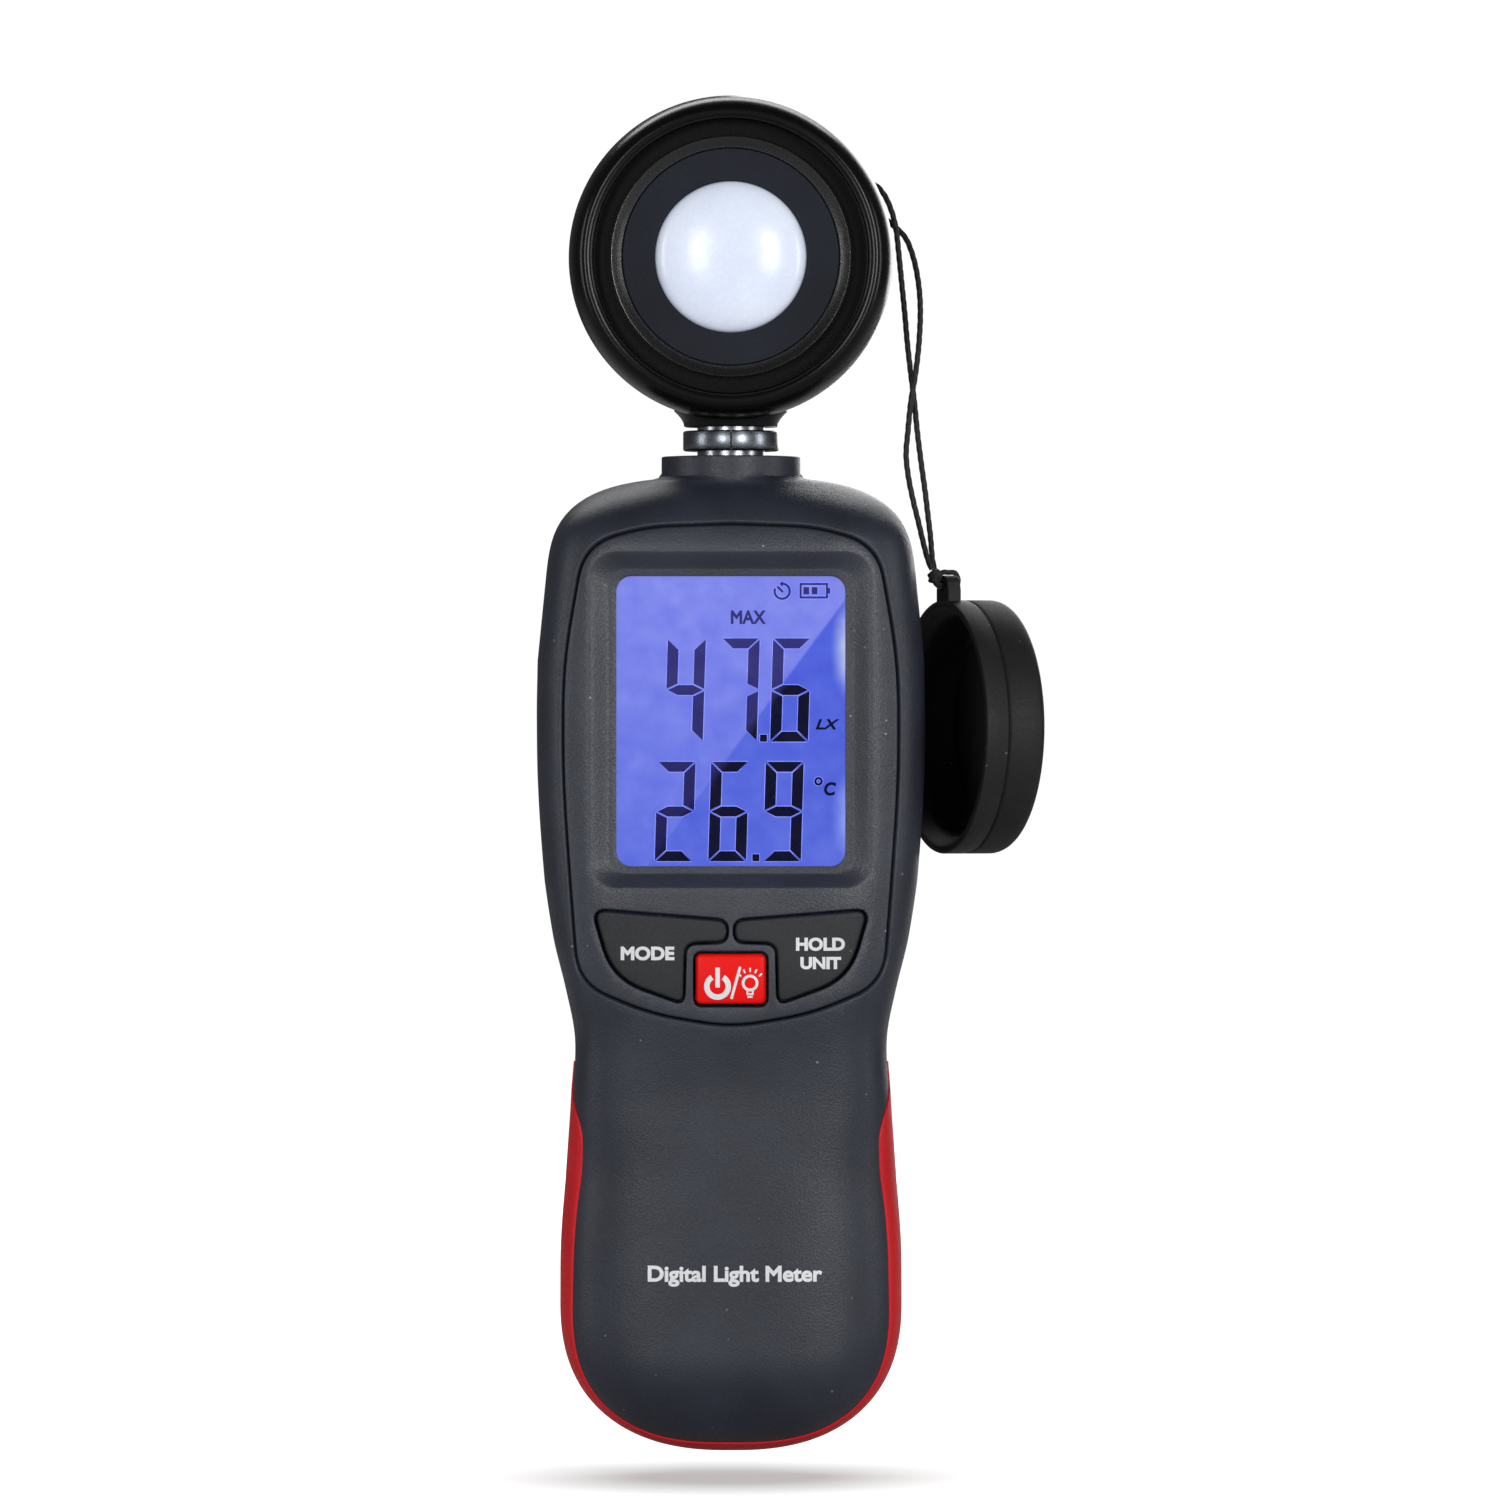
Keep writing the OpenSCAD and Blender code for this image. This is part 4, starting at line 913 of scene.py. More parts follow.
def prism(left, right, y_front, y_back, closed=False):
    """A raised stroke between two lines, front to back, with a closed skin."""
    n, verts = len(left), []
    for line, y in ((left, y_front), (right, y_front), (right, y_back), (left, y_back)):
        depth = y(line[:, 0], line[:, 1]) if callable(y) else np.full(n, y)
        verts += [(a[0], b, a[1]) for a, b in zip(line, depth)]
    faces = quads(4, n, closed, looped=True)
    if not closed:
        faces += [(0, n, 2 * n, 3 * n), (n - 1, 2 * n - 1, 3 * n - 1, 4 * n - 1)]
    return verts, faces


def round_line(x, z, r, a0, a1, n=28):
    """Points round a circle between two angles, from its top."""
    angles = [math.radians(a0 + (a1 - a0) * k / n) for k in range(n + 1)]
    return [(x + r * math.sin(a), z + r * math.cos(a)) for a in angles]


lcd_dark, lcd_edge = [], []


def lcd_shape(points):
    pts = ccw(np.array(points, float))
    lcd_dark.append(slab(pts, LCD_Y, LCD_BACK))
    lcd_edge.append(slab(grown(pts, EDGE_OUT), LCD_Y + EDGE_SINK, EDGE_BACK))


def lcd_box(x0, z0, x1, z1):
    lcd_shape([(x0, z0), (x1, z0), (x1, z1), (x0, z1)])


def lcd_line(points, w, closed=False):
    lcd_dark.append(prism(*stroke(points, w, closed), LCD_Y, LCD_BACK, closed))
    lcd_edge.append(prism(*stroke(points, w + 0.16, closed), LCD_Y + EDGE_SINK, EDGE_BACK, closed))


DIGIT_W = 5.03
for ch, x0, z0, h in (("4", -8.75, 34.5, 13.7), ("7", -1.6, 34.5, 13.7), ("6", 5.2, 34.5, 13.7),
                      ("2", -10.1, 18.65, 13.2), ("6", -3.0, 18.65, 13.2), ("9", 4.25, 18.65, 13.2)):
    for bar, pts in seg_shapes(DIGIT_W, h).items():
        if bar in SEG_ON[ch]:
            lcd_shape([(x0 + x + z * SLANT, z0 + z) for x, z in pts])
lcd_box(3.86, 34.5, 4.8, 35.45)
lcd_box(2.85, 18.65, 3.78, 19.6)
TIMER_X, TIMER_Z = 6.8, 54.45
lcd_line(round_line(TIMER_X, TIMER_Z, 1.0, -15, 290), 0.3)
lcd_line([(TIMER_X - 0.62, TIMER_Z + 0.6), (TIMER_X + 0.1, TIMER_Z - 0.12)], 0.32)
lcd_line([(TIMER_X - 0.02, TIMER_Z + 0.72), (TIMER_X - 0.02, TIMER_Z + 1.22)], 0.26)
lcd_line([(9.25, 53.62), (12.75, 53.62), (12.75, 55.4), (9.25, 55.4)], 0.28, True)
lcd_box(12.85, 54.15, 13.17, 54.87)
for x in (9.62, 10.72):
    lcd_box(x, 54.02, x + 0.76, 55.0)
lcd_line(round_line(11.62, 29.25, 0.42, 0, 345, 20), 0.3, True)


def outlines(text, shear=0.0):
    """The outlines of lettering in the built-in face, each running with its inside on the left."""
    cu = bpy.data.curves.new("lettering", "FONT")
    cu.body, cu.size, cu.shear, cu.resolution_u, cu.fill_mode = text, 1.0, shear, 6, "NONE"
    tmp = bpy.data.objects.new("lettering", cu)
    bpy.context.scene.collection.objects.link(tmp)
    bpy.context.view_layer.update()
    me = bpy.data.meshes.new_from_object(tmp.evaluated_get(bpy.context.evaluated_depsgraph_get()))
    bpy.data.objects.remove(tmp)
    near = {}
    for e in me.edges:
        i, j = e.vertices
        near.setdefault(i, []).append(j)
        near.setdefault(j, []).append(i)
    at = [(q.co.x, q.co.y) for q in me.vertices]
    bpy.data.meshes.remove(me)
    loops, seen = [], set()
    for start in near:
        if start in seen:
            continue
        loop, i = [], start
        while i is not None and i not in seen:
            seen.add(i)
            loop.append(at[i])
            i = next((j for j in near[i] if j not in seen), None)
        pts = np.array(loop)
        pts = pts[np.linalg.norm(pts - np.roll(pts, 1, 0), axis=1) > 1e-5]
        if len(pts) > 2:
            loops.append(ccw(pts))
    deep = [sum(bool(inside(other, q[:1])[0]) for other in loops if other is not q) for q in loops]
    return [q[::-1] if n % 2 else q for q, n in zip(loops, deep)]


def bolder(loop, d):
    """An outline moved outwards by d, its corners kept sharp."""
    e = np.roll(loop, -1, 0) - loop
    n = np.stack([e[:, 1], -e[:, 0]], -1)
    n /= np.maximum(np.linalg.norm(n, axis=1), 1e-9)[:, None]
    m = n + np.roll(n, 1, 0)
    m /= np.maximum(np.linalg.norm(m, axis=1), 1e-9)[:, None]
    return loop + m * d / np.maximum(0.55, np.sum(m * n, axis=1))[:, None]


TEXT_THICK = 0.03


def lettering(name, text, x0, x1, z0, z1, slot_name, body, material, face, bold, shear=0.0):
    """Generic lettering between x0 and x1, its capitals from z0 to z1, laid on a face given as its depth."""
    loops, first = outlines(text, shear), outlines(text[0])
    low, high = min(q[:, 1].min() for q in first), max(q[:, 1].max() for q in first)
    left, right = min(q[:, 0].min() for q in loops), max(q[:, 0].max() for q in loops)
    tall, wide = (z1 - z0) / (high - low) * (1 - 2 * bold / (z1 - z0)), (x1 - x0 - 2 * bold) / (right - left)
    loops = [bolder(np.stack([(q[:, 0] - left) * wide + x0 + bold, (q[:, 1] - low) * tall + z0 + bold], -1),
                    bold) for q in loops]
    flat, tris = triangulated(loops, lambda mid: winding(loops, mid) > 0, tolerance=1e-6)
    n, depth = len(flat), face(flat[:, 0], flat[:, 1])
    verts = [(x, y + lift, z) for lift in (-TEXT_THICK, TEXT_THICK) for (x, z), y in zip(flat, depth)]
    polys = [tuple(t) for t in tris]
    count = {}
    for q in polys:
        for side in zip(q, q[1:] + q[:1]):
            count[tuple(sorted(side))] = count.get(tuple(sorted(side)), 0) + 1
    faces = polys + [tuple(i + n for i in q[::-1]) for q in polys]
    faces += [(i, j, j + n, i + n) for (i, j), c in count.items() if c == 1]
    piece(name, (verts, faces), slot_name, body, material=material, sharp=20, merge=FINE)


FINE = 0.00001
piece("lcd_figures", joined(lcd_dark), "lcd", "meter_body", material="digit", merge=FINE)
piece("lcd_figure_edges", joined(lcd_edge), "lcd", "meter_body", material="digit_edge", merge=FINE)


def flat_lcd(x, z):
    return np.full(np.shape(x), LCD_Y + 0.02)


ON_LCD = ("lcd", "meter_body", "digit", flat_lcd)
ON_HOLD = ("dark_key", "hold_unit_key", "paint", key_face)
lettering("lcd_max", "MAX", 0.0, 4.6, 50.1, 51.9, *ON_LCD, 0.07)
lettering("lcd_lx", "LX", 11.25, 14.35, 36.1, 37.5, *ON_LCD, 0.07, 0.3)
lettering("lcd_degree_c", "C", 12.35, 13.95, 27.35, 29.15, *ON_LCD, 0.08, 0.15)
lettering("mode_label", "MODE", -14.56, -7.45, 5.6, 7.4, "dark_key", "mode_key", "paint", key_face, 0.11)
lettering("hold_label", "HOLD", 8.62, 15.1, 6.85, 8.58, *ON_HOLD, 0.11)
lettering("unit_label", "UNIT", 9.2, 14.6, 4.4, 6.04, *ON_HOLD, 0.11)
lettering("body_label", "Digital Light Meter", -11.0, 12.1, -37.0, -34.87, "housing", "meter_body", "paint",
          face_y, 0.1)

icon = []


def icon_line(points, w, closed=False):
    """A stroke of the power key's icon, in short steps so that it follows the crown."""
    if not closed:
        fine = [np.array(points[0], float)]
        for a, b in zip(points[:-1], points[1:]):
            a, b = np.array(a, float), np.array(b, float)
            n = max(1, int(round(np.linalg.norm(b - a) / 0.25)))
            fine += [a + (b - a) * k / n for k in range(1, n + 1)]
        points = fine
    icon.append(prism(*stroke(points, w, closed), lambda x, z: power_face(x, z) - 0.03,
                      lambda x, z: power_face(x, z) + 0.06, closed))


RING_X, RING_Z, BULB_X, BULB_Z = -1.75, 2.15, 2.55, 2.6
icon_line(round_line(RING_X, RING_Z, 1.42, 32, 328, 40), 0.72)
icon_line(round_line(BULB_X, BULB_Z, 0.92, 150, 510, 32)[:-1], 0.36, True)
icon_line([(RING_X, 2.0), (RING_X, 3.0), (RING_X, 4.65)], 0.6)
icon_line([(0.08, 0.5), (1.24, 4.75)], 0.36)
for x0, z0, x1, z1, w in ((-0.36, 1.7, -0.36, 1.1, 0.24), (0.36, 1.7, 0.36, 1.1, 0.24),
                          (-0.46, 1.12, 0.46, 1.12, 0.26), (-0.34, 0.76, 0.34, 0.76, 0.24)):
    icon_line([(BULB_X + x0, z0), (BULB_X + x1, z1)], w)
for a in np.radians([-52, -26, 0, 26, 52]):
    way = np.array([math.sin(a), math.cos(a)])
    icon_line([way * [1.5, 1.45] + [BULB_X, BULB_Z], way * 2.0 + [BULB_X, BULB_Z]], 0.22)
piece("power_icon", joined(icon), "red_key", "power_key", material="paint", merge=FINE)


# ---------------------------------------------------------------- grip band
BAND = rounded([
    [AXIS_Y, -7.7, 0.5], [-24.7, -15, 2], [-23.7, -26, 3], [-23.1, -50, 6], [-21.8, -62, 0.5],
    [-9, -62, 0.5], [-8, -50, 6], [-8, -26, 3], [-7.6, -15, 2]], 10)


BAND_Z, BAND_LIFT, BAND_COLS, BAND_ROWS, BAND_TOP = -36, 0.2, 260, 14, (21.0, -7.9)


def band_limits(z):
    """Front and back edge of the band at a height."""
    edges = []
    for side in (BAND[BAND[:, 0] <= AXIS_Y], BAND[BAND[:, 0] >= AXIS_Y]):
        side = side[np.argsort(side[:, 1])]
        edges.append(np.interp(z, side[:, 1], side[:, 0]))
    return edges


def band_radius(theta, y):
    """Distance of the body's skin from the band's middle, in a plane across y, by halving."""
    lo, hi = np.zeros_like(theta + y), np.full_like(theta + y, 75.0)
    for _ in range(46):
        r = (lo + hi) / 2
        x, z = np.abs(r * np.cos(theta)), BAND_Z + r * np.sin(theta)
        zc = np.clip(z, BODY_BOTTOM + 1e-4, 40)
        front = y < AXIS_Y
        n = np.where(front, square_front(zc), square_back(zc))
        d = np.where(front, front_d(zc), back_d(zc))
        depth = np.abs(y - AXIS_Y) / np.where(front, 1, fullness(zc)) / np.maximum(d, 1e-3)
        out = ((x / np.maximum(half_w(zc), 1e-3)) ** n + depth ** n > 1) | (z < BODY_BOTTOM)
        lo, hi = np.where(out, lo, r), np.where(out, r, hi)
    return (lo + hi) / 2


def band_point(theta, y):
    r = band_radius(theta, y)
    return np.stack([r * np.cos(theta), y, BAND_Z + r * np.sin(theta)], -1)


def grip_band():
    """The band round the grip: a strip proud of the skin, with edges that turn into it."""
    top = math.atan2(BAND_TOP[1] - BAND_Z, BAND_TOP[0])
    thetas = np.linspace(top, -math.pi - top, BAND_COLS)
    middle = band_point(thetas, np.full_like(thetas, AXIS_Y))
    y_front, y_back = band_limits(np.clip(middle[:, 2], BODY_BOTTOM, 0))
    width = y_back - y_front
    edge = [(0.0, -0.9), (0.0, -0.1), (0.03, 0.06), (0.1, 0.15), (0.2, BAND_LIFT)]
    rows = [(y_front + a, lift) for a, lift in edge]
    rows += [(y_front + 0.2 + (width - 0.4) * (k / BAND_ROWS), BAND_LIFT) for k in range(1, BAND_ROWS)]
    rows += [(y_back - a, lift) for a, lift in edge[::-1]]
    verts, e = [], 0.01
    for y, lift in rows:
        y = np.where(width > 0.5, y, (y_front + y_back) / 2)
        p = band_point(thetas, y)
        n = unit(np.cross(band_point(thetas + e, y) - p, band_point(thetas, y + e) - p))
        outward = np.sign(np.sum(n * (p - [0, AXIS_Y, BAND_Z]), axis=1))[:, None]
        verts += list(p + n * outward * lift)
    faces = quads(len(rows), BAND_COLS, closed=False, looped=True)
    return verts, faces + [tuple(i * BAND_COLS + j for i in range(len(rows))) for j in (0, BAND_COLS - 1)]


piece("grip_band", grip_band(), "grip", "meter_body", ["grip_overmold"])

# ---------------------------------------------------------------- back shell
SCREWS = [(-17.4, 60.5), (17.4, 60.5), (-17.6, -2.5), (17.6, -2.5)]
SCREW_R, SCREW_FLOOR, SCREW_HOLE = 2.5, -7.85, 1.5
COVER_W, COVER_Z0, COVER_Z1, SLOT_Z0, SLOT_Y = 14.2, -54.0, -8.0, -56.2, -1.9
HOLE_EDGE, HOLE_DEPTH, SLOT_GAP = 0.2, 1.6, 0.18
SOCKET_HOLE, SOCKET_EDGE = 4.65, 0.15


def counterbore(x, z, r, floor_y, inner_r):
    """Rings from a skin's edge straight into a round counterbore, its floor and the hole in that."""
    def rings(base, normals):
        aim = unit(np.stack([x - base[:, 0], np.zeros(len(base)), z - base[:, 2]], -1))
        out = [base + aim * HOLE_EDGE * math.sin(a) - [0, HOLE_EDGE * (1 - math.cos(a)), 0]
               for a in np.radians([30, 60, 90])]
        return out + [np.array([x, y, z]) - aim * rr
                      for rr, y in ((r, floor_y), (inner_r, floor_y), (inner_r, floor_y - 3))]
    return rings


def back_y(x, z):
    """Depth of the body's back at x and z."""
    return BACK(*to_uv(False, np.stack([x, z], -1)).T)[:, 1]


def slot_floor(x, z):
    """Floor of the cover's channel, following the body where that curves in under it."""
    return np.stack([x, np.minimum(SLOT_Y, back_y(x, z) - 0.12), z], -1)


back_holes = [(ccw(to_uv(False, circle(x, z, SCREW_R + HOLE_EDGE, 36))),
               counterbore(x, z, SCREW_R, SCREW_FLOOR, SCREW_HOLE)) for x, z in SCREWS]
back_holes.append((ccw(to_uv(False, circle(0, 0, SOCKET_HOLE + SOCKET_EDGE, 48))), SOCKET_EDGE, HOLE_DEPTH))
around = SLOT_GAP + HOLE_EDGE
cover_hole = ccw(resample(box_loop(COVER_W + around, SLOT_Z0, COVER_Z1 + around, 1.0), 0.7))
back_holes.append((to_uv(False, cover_hole), HOLE_EDGE, HOLE_DEPTH))
slot_plan = (box_ring(COVER_W + 0.3, SLOT_Z0 - 0.1, -49.0, 0.6), 0.05, 0.3)
piece("rear_shell", joined([skin(BACK, SHELL_PLAN, back_holes, SHELL_GRID, WALL, sign=-1),
                            skin(slot_floor, slot_plan, [], 0.7, 0.8, sign=-1)]),
      "housing", "meter_body", ["rear_housing"])
RIDGE_Z, RIDGE_PITCH, RIDGES, RIDGE_HALF, RIDGE_DEPTH = -17.0, 1.6, 5, 5.4, 0.5


def cover_face(x, z):
    """The back's face with the cover's thumb grooves. Its plan is mirrored, so that its normals point out."""
    k = (z - RIDGE_Z) / RIDGE_PITCH
    near = np.abs(k - np.round(k)) * RIDGE_PITCH
    cut = RIDGE_DEPTH * np.clip((0.55 - near) / 0.25, 0, 1) * np.clip((RIDGE_HALF - np.abs(x)) / 0.4, 0, 1)
    y = back_y(-x, z) - np.where((np.round(k) >= 0) & (np.round(k) < RIDGES), cut, 0)
    return np.stack([-x, y, z], -1)


COVER_EDGE = 0.25
cover_loop = box_loop(COVER_W - COVER_EDGE, COVER_Z0 + COVER_EDGE, COVER_Z1 - COVER_EDGE, 1.2)
cover_loop = ccw(resample(cover_loop, 0.7))
cover_grid = (np.arange(-13.6, 13.7, 0.85),
              np.concatenate([np.arange(-53.4, -19, 0.9), np.arange(-18.2, -9.3, 0.2), [-8.9]]))
piece("battery_cover_moulding", skin(cover_face, (cover_loop, COVER_EDGE, 1.2), [], 0.85, 1.5, cover_grid),
      "housing", "battery_door", ["battery_cover"], sharp=50)


# ---------------------------------------------------------------- turned pieces
def turned(profile, segments, place, closed=True, start=0, sweep=360):
    """A profile of radius and position turned about an axis. place maps (radius, angle, position) to a
    point. The profile is a closed line unless it is said not to be."""
    full = sweep >= 360
    rows, cols = len(profile), segments if full else segments + 1
    angles = [math.radians(start + sweep * j / segments) for j in range(cols)]
    verts = [place(r, a, d) for r, d in profile for a in angles]
    faces = []
    for i in range(rows if closed else rows - 1):
        k = (i + 1) % rows
        if max(profile[i][0], profile[k][0]) >= 1e-6:
            faces += [(i * cols + j, i * cols + m, k * cols + m, k * cols + j)
                      for j, m in ((j, (j + 1) % cols) for j in range(segments))]
    if not full:
        faces += [tuple(i * cols + j for i in range(rows)) for j in (0, cols - 1)]
    return verts, faces


def about(x, z):
    """A place function for pieces turned about a front-to-back axis through x and z."""
    return lambda r, a, d: (x + r * math.sin(a), d, z + r * math.cos(a))


HEAD_Z = 98.9


def on_head(r, a, d):
    return r * math.sin(a), -d, HEAD_Z + r * math.cos(a)


def on_neck(r, a, z):
    return r * math.sin(a), AXIS_Y + r * math.cos(a), z


def on_cap(r, a, u):
    return tuple(cap_at(u, r * math.sin(a), r * math.cos(a)))


def arc(r0, d0, dr, dd, angles):
    """Part of an ellipse for a profile, its angles in degrees from the radius's direction."""
    return [(r0 + dr * math.cos(a), d0 + dd * math.sin(a)) for a in np.radians(angles)]


def head_side(d):
    """Radius of the head at a depth in front of the frame's zero."""
    return 17.3 + 4.3 * math.sin(math.radians(90 * min(1, max(0, (d - 9) / 12)))) ** 0.8


SPLIT = 15.5
HEAD_SCREWS = [(12.6 * math.sin(a), HEAD_Z + 12.6 * math.cos(a)) for a in np.radians([0, 120, 240])]
HEAD_PLAN_R = 16.4
HEAD_FLAT_R, HEAD_ROUND_R, HEAD_ROUND_D, HEAD_EDGE_Y = 12, 5.2, 3, -8


def head_back(x, z):
    """The flat back of the head and the start of its rounded edge."""
    t = np.clip((np.hypot(x, z - HEAD_Z) - HEAD_FLAT_R) / HEAD_ROUND_R, 0, 0.98)
    return np.stack([x, HEAD_EDGE_Y + HEAD_ROUND_D * np.sqrt(1 - t * t), z], -1)


split_r = head_side(SPLIT - 0.2)
rear = arc(HEAD_FLAT_R, -HEAD_EDGE_Y, HEAD_ROUND_R, -HEAD_ROUND_D, range(28, -1, -7))
rear += [(head_side(d), d) for d in np.arange(9, SPLIT - 0.3, 0.5)]
rear += [(split_r, SPLIT - 0.22), (split_r - 0.07, SPLIT - 0.08), (split_r - 0.25, SPLIT - 0.02),
         (15.9, SPLIT - 0.02), (15.7, 10)]


def head_side_rings(base, normals):
    """Over the head's rounded rear edge and along its side to the split."""
    way = unit((base - [0, 0, HEAD_Z]) * [1, 0, 1])
    return [way * r + [0, -d, HEAD_Z] for r, d in rear]


ear = ccw(rounded([[13, 101, 1], [20.2, 104.4, 2], [19.2, 109.4, 1.8], [12, 110, 1]]))
head_holes = [(circle(x, z, 2.2, 32), counterbore(x, z, 2.0, -7.95, 1.1)) for x, z in HEAD_SCREWS]
piece("head_rear_cover", joined([
    skin(head_back, (circle(0, HEAD_Z, HEAD_PLAN_R, 128), head_side_rings), head_holes, 0.9, 1.9, sign=-1),
    slab(ear, -12.6, -11.2, 0.12)]), "head", "sensor_head", ["head_rear_shell"])
front = [(15.9, SPLIT + 0.02), (split_r - 0.2, SPLIT + 0.02), (split_r, SPLIT + 0.08),
         (head_side(SPLIT + 0.25), SPLIT + 0.25)]
front += [(head_side(d), d) for d in np.arange(SPLIT + 0.6, 21, 0.5)]
front += arc(19.2, 21, 2.4, 6.5, range(0, 91, 6))
front += [(18.75, 27.42), (18.45, 27.2), (18.25, 26.9), (18.15, 26.5), (18.1, 26), (18.1, 24), (16, 24),
          (10.1, 24), (10.1, 22.5), (15.8, 22.5)]
piece("head_front_cover", turned(front, 144, on_head), "head", "sensor_head", ["head_front_shell"])

FOOT_Z, FOOT_R = 76.8, 6.3


def foot_radius(z):
    """The foot flares up to the head, and stays inside its outline."""
    inside_head = math.sqrt(21.3 ** 2 - (HEAD_Z - z) ** 2) if z > 79 else 99
    return min(FOOT_R + 0.495 * (z - FOOT_Z) ** 1.6, 10.3, inside_head)


foot = [(0, 76.5), (6.0, 76.5), (6.22, 76.56), (FOOT_R, 76.75)]
foot += [(foot_radius(z), z) for z in np.arange(77.0, 83.1, 0.4)] + [(10, 84), (0, 84)]


def on_foot(r, a, z):
    """A point of the foot, narrower front to back than side to side where it meets the head."""
    deep, y_min = r, -23.2
    if z > FOOT_Z:
        deep = min(r, 6.5 + 5.5 * (1 - math.sqrt(max(0, 1 - (min(z - FOOT_Z, 5.3) / 5.6) ** 2))))
    y = AXIS_Y + deep * math.cos(a)
    return r * math.sin(a), max(y, y_min) if z > 80 else y, z


piece("head_foot", turned(foot, 96, on_foot), "head", "sensor_head")

bezel = [(14.45, 24), (14.45, 24.9), (14.5, 25.05), (14.62, 25.14), (15.75, 25.95), (15.86, 25.98),
         (15.95, 25.93), (16, 25.8), (16, 24)]
piece("sensor_bezel_ring", turned(bezel, 128, on_head), "bezel", "sensor_head", ["sensor_bezel"])
mask = [(10.06, 24.02), (10.06, 24.72), (10.14, 24.8), (14.3, 24.8), (14.38, 24.72), (14.38, 24.02)]
piece("mask_disc", turned(mask, 128, on_head), "mask", "sensor_head", ["mask_plate"])
dome = [(0, 20.9), (10.2, 20.9), (10.2, 22.4), (9.98, 22.4), (9.98, 24.6)]
dome += arc(0, 24.6, 9.98, 3.6, range(5, 90, 5)) + [(0, 28.2)]
piece("diffuser_dome_moulding", turned(dome, 96, on_head), "dome", "sensor_head", ["diffuser_dome"])

# The collar is a split ring: the slit is at the front.
collar = [(4.6, 73.3), (6.1, 73.3), (6.3, 73.36), (6.4, 73.5), (6.4, 75.78), (6.3, 75.93), (6.1, 76),
          (4.6, 76)]
piece("neck_collar_ring", turned(collar, 90, on_neck, start=181.1, sweep=357.8), "chrome", "sensor_head",
      ["neck_collar"])

cap = [(0, 8.8), (6, 8.8), (14.8, 8.8)] + arc(15, 6.8, 2, 2, range(81, -1, -9))
cap += [(17, 3.62), (16.93, 3.5), (16.62, 3.32), (16.6, 3.28), (16.93, 3.1), (17, 2.98), (17, 0.32),
        (16.93, 0.12), (16.75, 0.02), (16.3, 0), (16.1, 0.03), (15.95, 0.14), (14.9, 1.72), (14.8, 1.9),
        (14.62, 2.9), (14.6, 3.1), (14.6, 7), (14.4, 7.3), (14.1, 7.4), (0, 7.4)]


def lug():
    """The lug on the cap's rim: an upright tab with a round top and an eye."""
    n, outline, eye = 32, [], []
    for k in range(n):
        s, c = math.cos(2 * math.pi * k / n), math.sin(2 * math.pi * k / n)
        if c >= 0:
            y, z = LUG_SHOULDER * np.sign(s) * min(1, abs(s) * 4) + LUG_R * s, LUG_R * c
        else:
            y, z = s / max(abs(s), abs(c)) * LUG_W / 2, c / max(abs(s), abs(c)) * LUG_DOWN
        outline.append((y, z))
        eye.append((EYE_R * s, EYE_R * c))
    verts = []
    rings = [(outline, 0.0, 0.93), (outline, 0.13, 1.0), (outline, LUG_T - 0.13, 1.0), (outline, LUG_T, 0.93),
             (eye, LUG_T, 1.12), (eye, LUG_T - 0.12, 1.0), (eye, 0.12, 1.0), (eye, 0.0, 1.12)]
    for ring, u, size in rings:
        verts += [cap_at(0.1 + u, y * size, EYE_UP + z * (size if z > 0 else 1)) for y, z in ring]
    return verts, quads(len(rings), n, looped=True)


LUG_DOWN, LUG_SHOULDER, EYE_R = 2.7, 0.6, 0.68
piece("lens_cap_moulding", joined([turned(cap, 144, on_cap), lug()]), "cap", "hanging_cap", ["lens_cap"])


# ---------------------------------------------------------------- small hardware
def screw(x, z, y, r, length, socket):
    """A pan-head screw seen from behind: domed head with a cross recess, its shank ahead of it."""
    head = [(0, y - 1.2), (r * 0.9, y - 1.2), (r, y - 1.05), (r, y - 0.35), (r * 0.9, y - 0.12),
            (r * 0.66, y)]
    verts, faces = turned(head, SCREW_SIDES, about(x, z), closed=False)
    rim = [(p[0], p[2]) for p in verts[-SCREW_SIDES:]]
    arm, wide, cross = r * 0.52, r * 0.16, []
    for c, s in ((1, 0), (0, 1), (-1, 0), (0, -1)):
        cross += [(x + px * c - pz * s, z + px * s + pz * c)
                  for px, pz in ((arm, -wide), (arm, wide), (wide, wide))]
    cross = np.array(cross)
    top, tris = triangulated([rim, cross], lambda mid: ~inside(cross, mid))
    recess = [(px, depth, pz) for depth in (y, y - socket) for px, pz in cross]
    n = len(cross)
    shank = [(0, y - 1.2), (r * 0.5, y - 1.2), (r * 0.5, y - length), (0, y - length)]
    return joined([(verts, faces), (recess, quads(2, n) + [tuple(n + j for j in range(n))]),
                   ([(px, y, pz) for px, pz in top], [tuple(t) for t in tris]),
                   turned(shank, 24, about(x, z), closed=False)])


SCREW_SIDES = 40
piece("rear_screws", joined([screw(x, z, -6.1, 2.4, 13.5, 0.9) for x, z in SCREWS]), "steel", "meter_body",
      ["housing_screws"], sharp=30)
piece("head_rear_screws", joined([screw(x, z, -6.6, 1.9, 12, 0.7) for x, z in HEAD_SCREWS]), "steel",
      "sensor_head", ["head_screws"], sharp=30)

thread, z = [(4.6, -8), (4.6, -0.12), (4.5, 0.0), (3.05, 0.0), (2.6, -0.4)], -0.6
while z > -6.8:
    thread += [(3.0, z), (3.0, z - 0.12), (2.58, z - 0.5), (2.58, z - 0.62)]
    z -= 1.27 / 1.35
thread += [(2.55, -7.0), (0, -7.0), (0, -8)]
piece("tripod_socket_insert", turned(thread, 64, about(0, 0)), "brass", "meter_body", ["tripod_insert"],
      sharp=30)

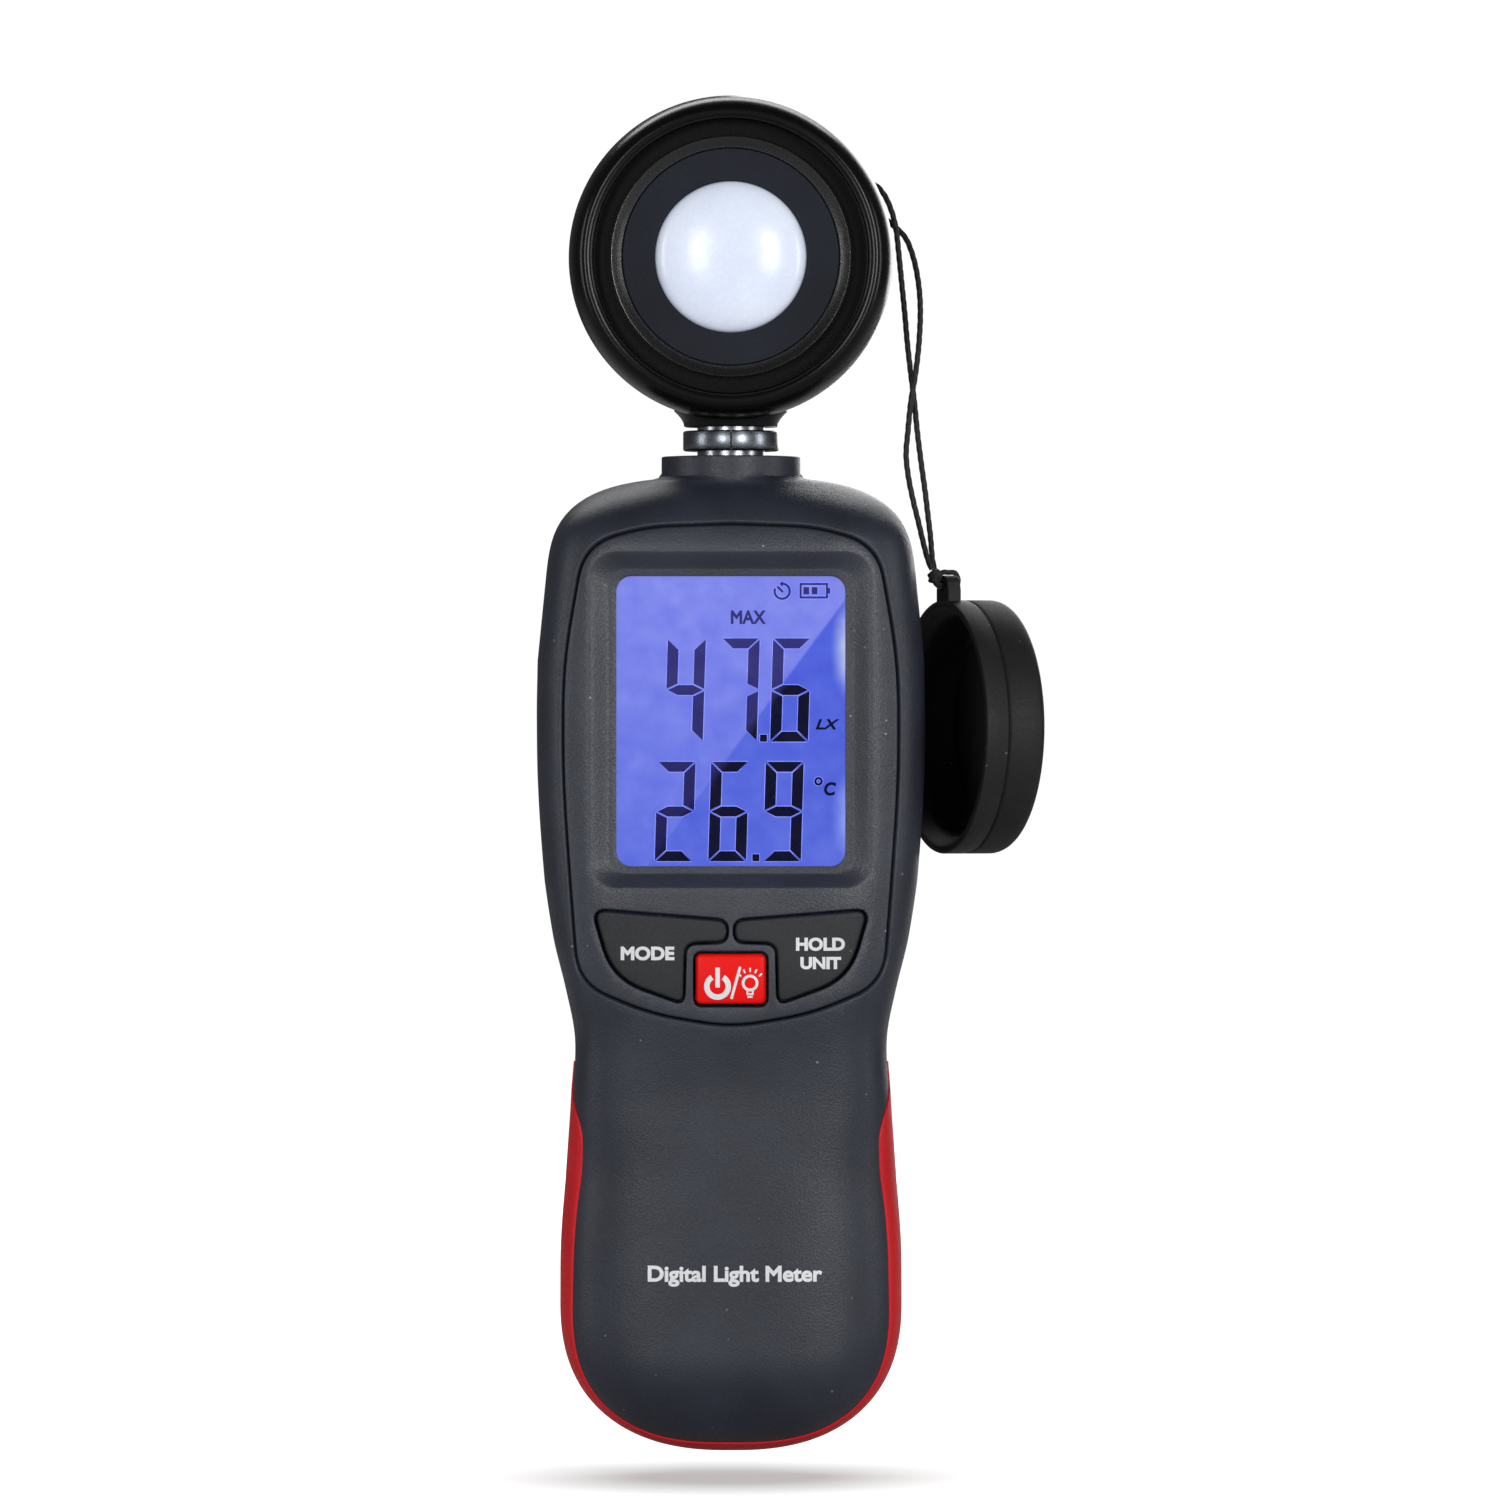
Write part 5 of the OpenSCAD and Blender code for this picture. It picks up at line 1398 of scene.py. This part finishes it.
PIN_X, PIN_Z = 17.8, 107.7
pin = [(0, -5.8), (1.3, -5.8), (1.6, -5.9), (1.7, -6.1), (1.7, -6.45), (1.6, -6.6), (1.25, -6.65),
       (1.1, -6.8), (1.1, -11.15), (0.8, -11.15), (0.8, -12.9), (0, -12.9)]
piece("lanyard_stud", turned(pin, 32, about(PIN_X, PIN_Z)), "steel", "sensor_head", ["lanyard_pin"], sharp=35)

# ---------------------------------------------------------------- carried-over nodes
SLOT_OF = {node: row["slot"] for row in frame["record"].get("materials", [])
           for node in row.get("nodes") or []}
for name, obj in NODES.items():
    own = obj.material_slots[0].material if obj.material_slots else None
    finish = MAT.get(SLOT_OF.get(name) or (own.name if own else None), MAT["black_plastic"])
    if not obj.material_slots:
        obj.data.materials.append(finish)
    for slot in obj.material_slots:
        slot.material = finish

# ---------------------------------------------------------------- floor and light
FLOOR_Z, FLOOR_R = -63.7, 3.0
t = new_material("floor")
coord = t.coord()
pale = t.ramp(t.noise(coord, 40, 2), (0.3, (0.5, 0.5, 0.5, 1)), (0.7, (0.54, 0.54, 0.54, 1)))
# The floor glows white to the camera, and less round the object: a painted shadow there, on top of the real
# shadow that the lamps cast.
glow_with_painted_shadow = t.spread(t.length(coord), 0.34, 1.0, 0.012, 0.045)
seen = t.maths("MULTIPLY", glow_with_painted_shadow, t.add("ShaderNodeLightPath").outputs["Is Camera Ray"])
t.principled({"Base Color": pale, "Roughness": 0.9, "Specular IOR Level": 0.0, "Emission Strength": seen,
              "Emission Color": (1, 1, 1, 1)})
bm = bmesh.new()
bmesh.ops.create_circle(bm, cap_ends=True, segments=96, radius=FLOOR_R)
mesh = bpy.data.meshes.new("floor")
bm.to_mesh(mesh)
bm.free()
mesh.materials.append(MAT["floor"])
floor = bpy.data.objects.new("floor", mesh)
bpy.context.scene.collection.objects.link(floor)
floor.location = (0, AXIS_Y * MM, FLOOR_Z * MM)
floor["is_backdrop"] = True

# The world is white to the camera and lights the object faintly.
WHITE, SKY_SEEN, SKY_LIGHT = (1, 1, 1, 1), 1.02, 0.08
bpy.context.scene.world = bpy.data.worlds.new("studio")
w = Nodes(bpy.context.scene.world)
skies = [w.add("ShaderNodeBackground", {"Color": WHITE, "Strength": k}) for k in (SKY_LIGHT, SKY_SEEN)]
sky = w.add("ShaderNodeMixShader", {"Fac": w.add("ShaderNodeLightPath").outputs["Is Camera Ray"],
                                    1: skies[0].outputs["Background"], 2: skies[1].outputs["Background"]})
w.add("ShaderNodeOutputWorld", {"Surface": sky.outputs["Shader"]})

# Softboxes: place, point aimed at and size in metres, and power in watts.
SOFTBOXES = {
    "front_left_box": ((-0.4, -1.11, 0.22), (0, 0, 0.03), (0.26, 0.5), 4.1),
    "front_right_box": ((0.52, -1.06, 0.22), (0, 0, 0.03), (0.26, 0.5), 5.7),
    "left_strip": ((-0.7, -0.2, 0.05), (0, 0, 0.04), (0.16, 0.6), 1.5),
    "right_strip": ((0.7, -0.2, 0.05), (0, 0, 0.04), (0.16, 0.6), 1.5),
    "top_strip": ((0.0, 0.5, 0.55), (0, -0.015, 0.08), (0.7, 0.2), 1.8),
    "back_box": ((0.3, 1.1, 0.3), (0, 0, 0.03), (0.6, 0.6), 4.0),
}
for name, (place, aim, size, power) in SOFTBOXES.items():
    light = bpy.data.lights.new(name, "AREA")
    light.shape, light.size, light.size_y, light.energy = "RECTANGLE", *size, power
    obj = bpy.data.objects.new(name, light)
    bpy.context.scene.collection.objects.link(obj)
    obj.location = place
    obj.rotation_euler = (Vector(aim) - Vector(place)).to_track_quat("-Z", "Y").to_euler()

size = {"cad_box": CAD_BOX, "visual_box": [list(c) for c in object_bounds()]}
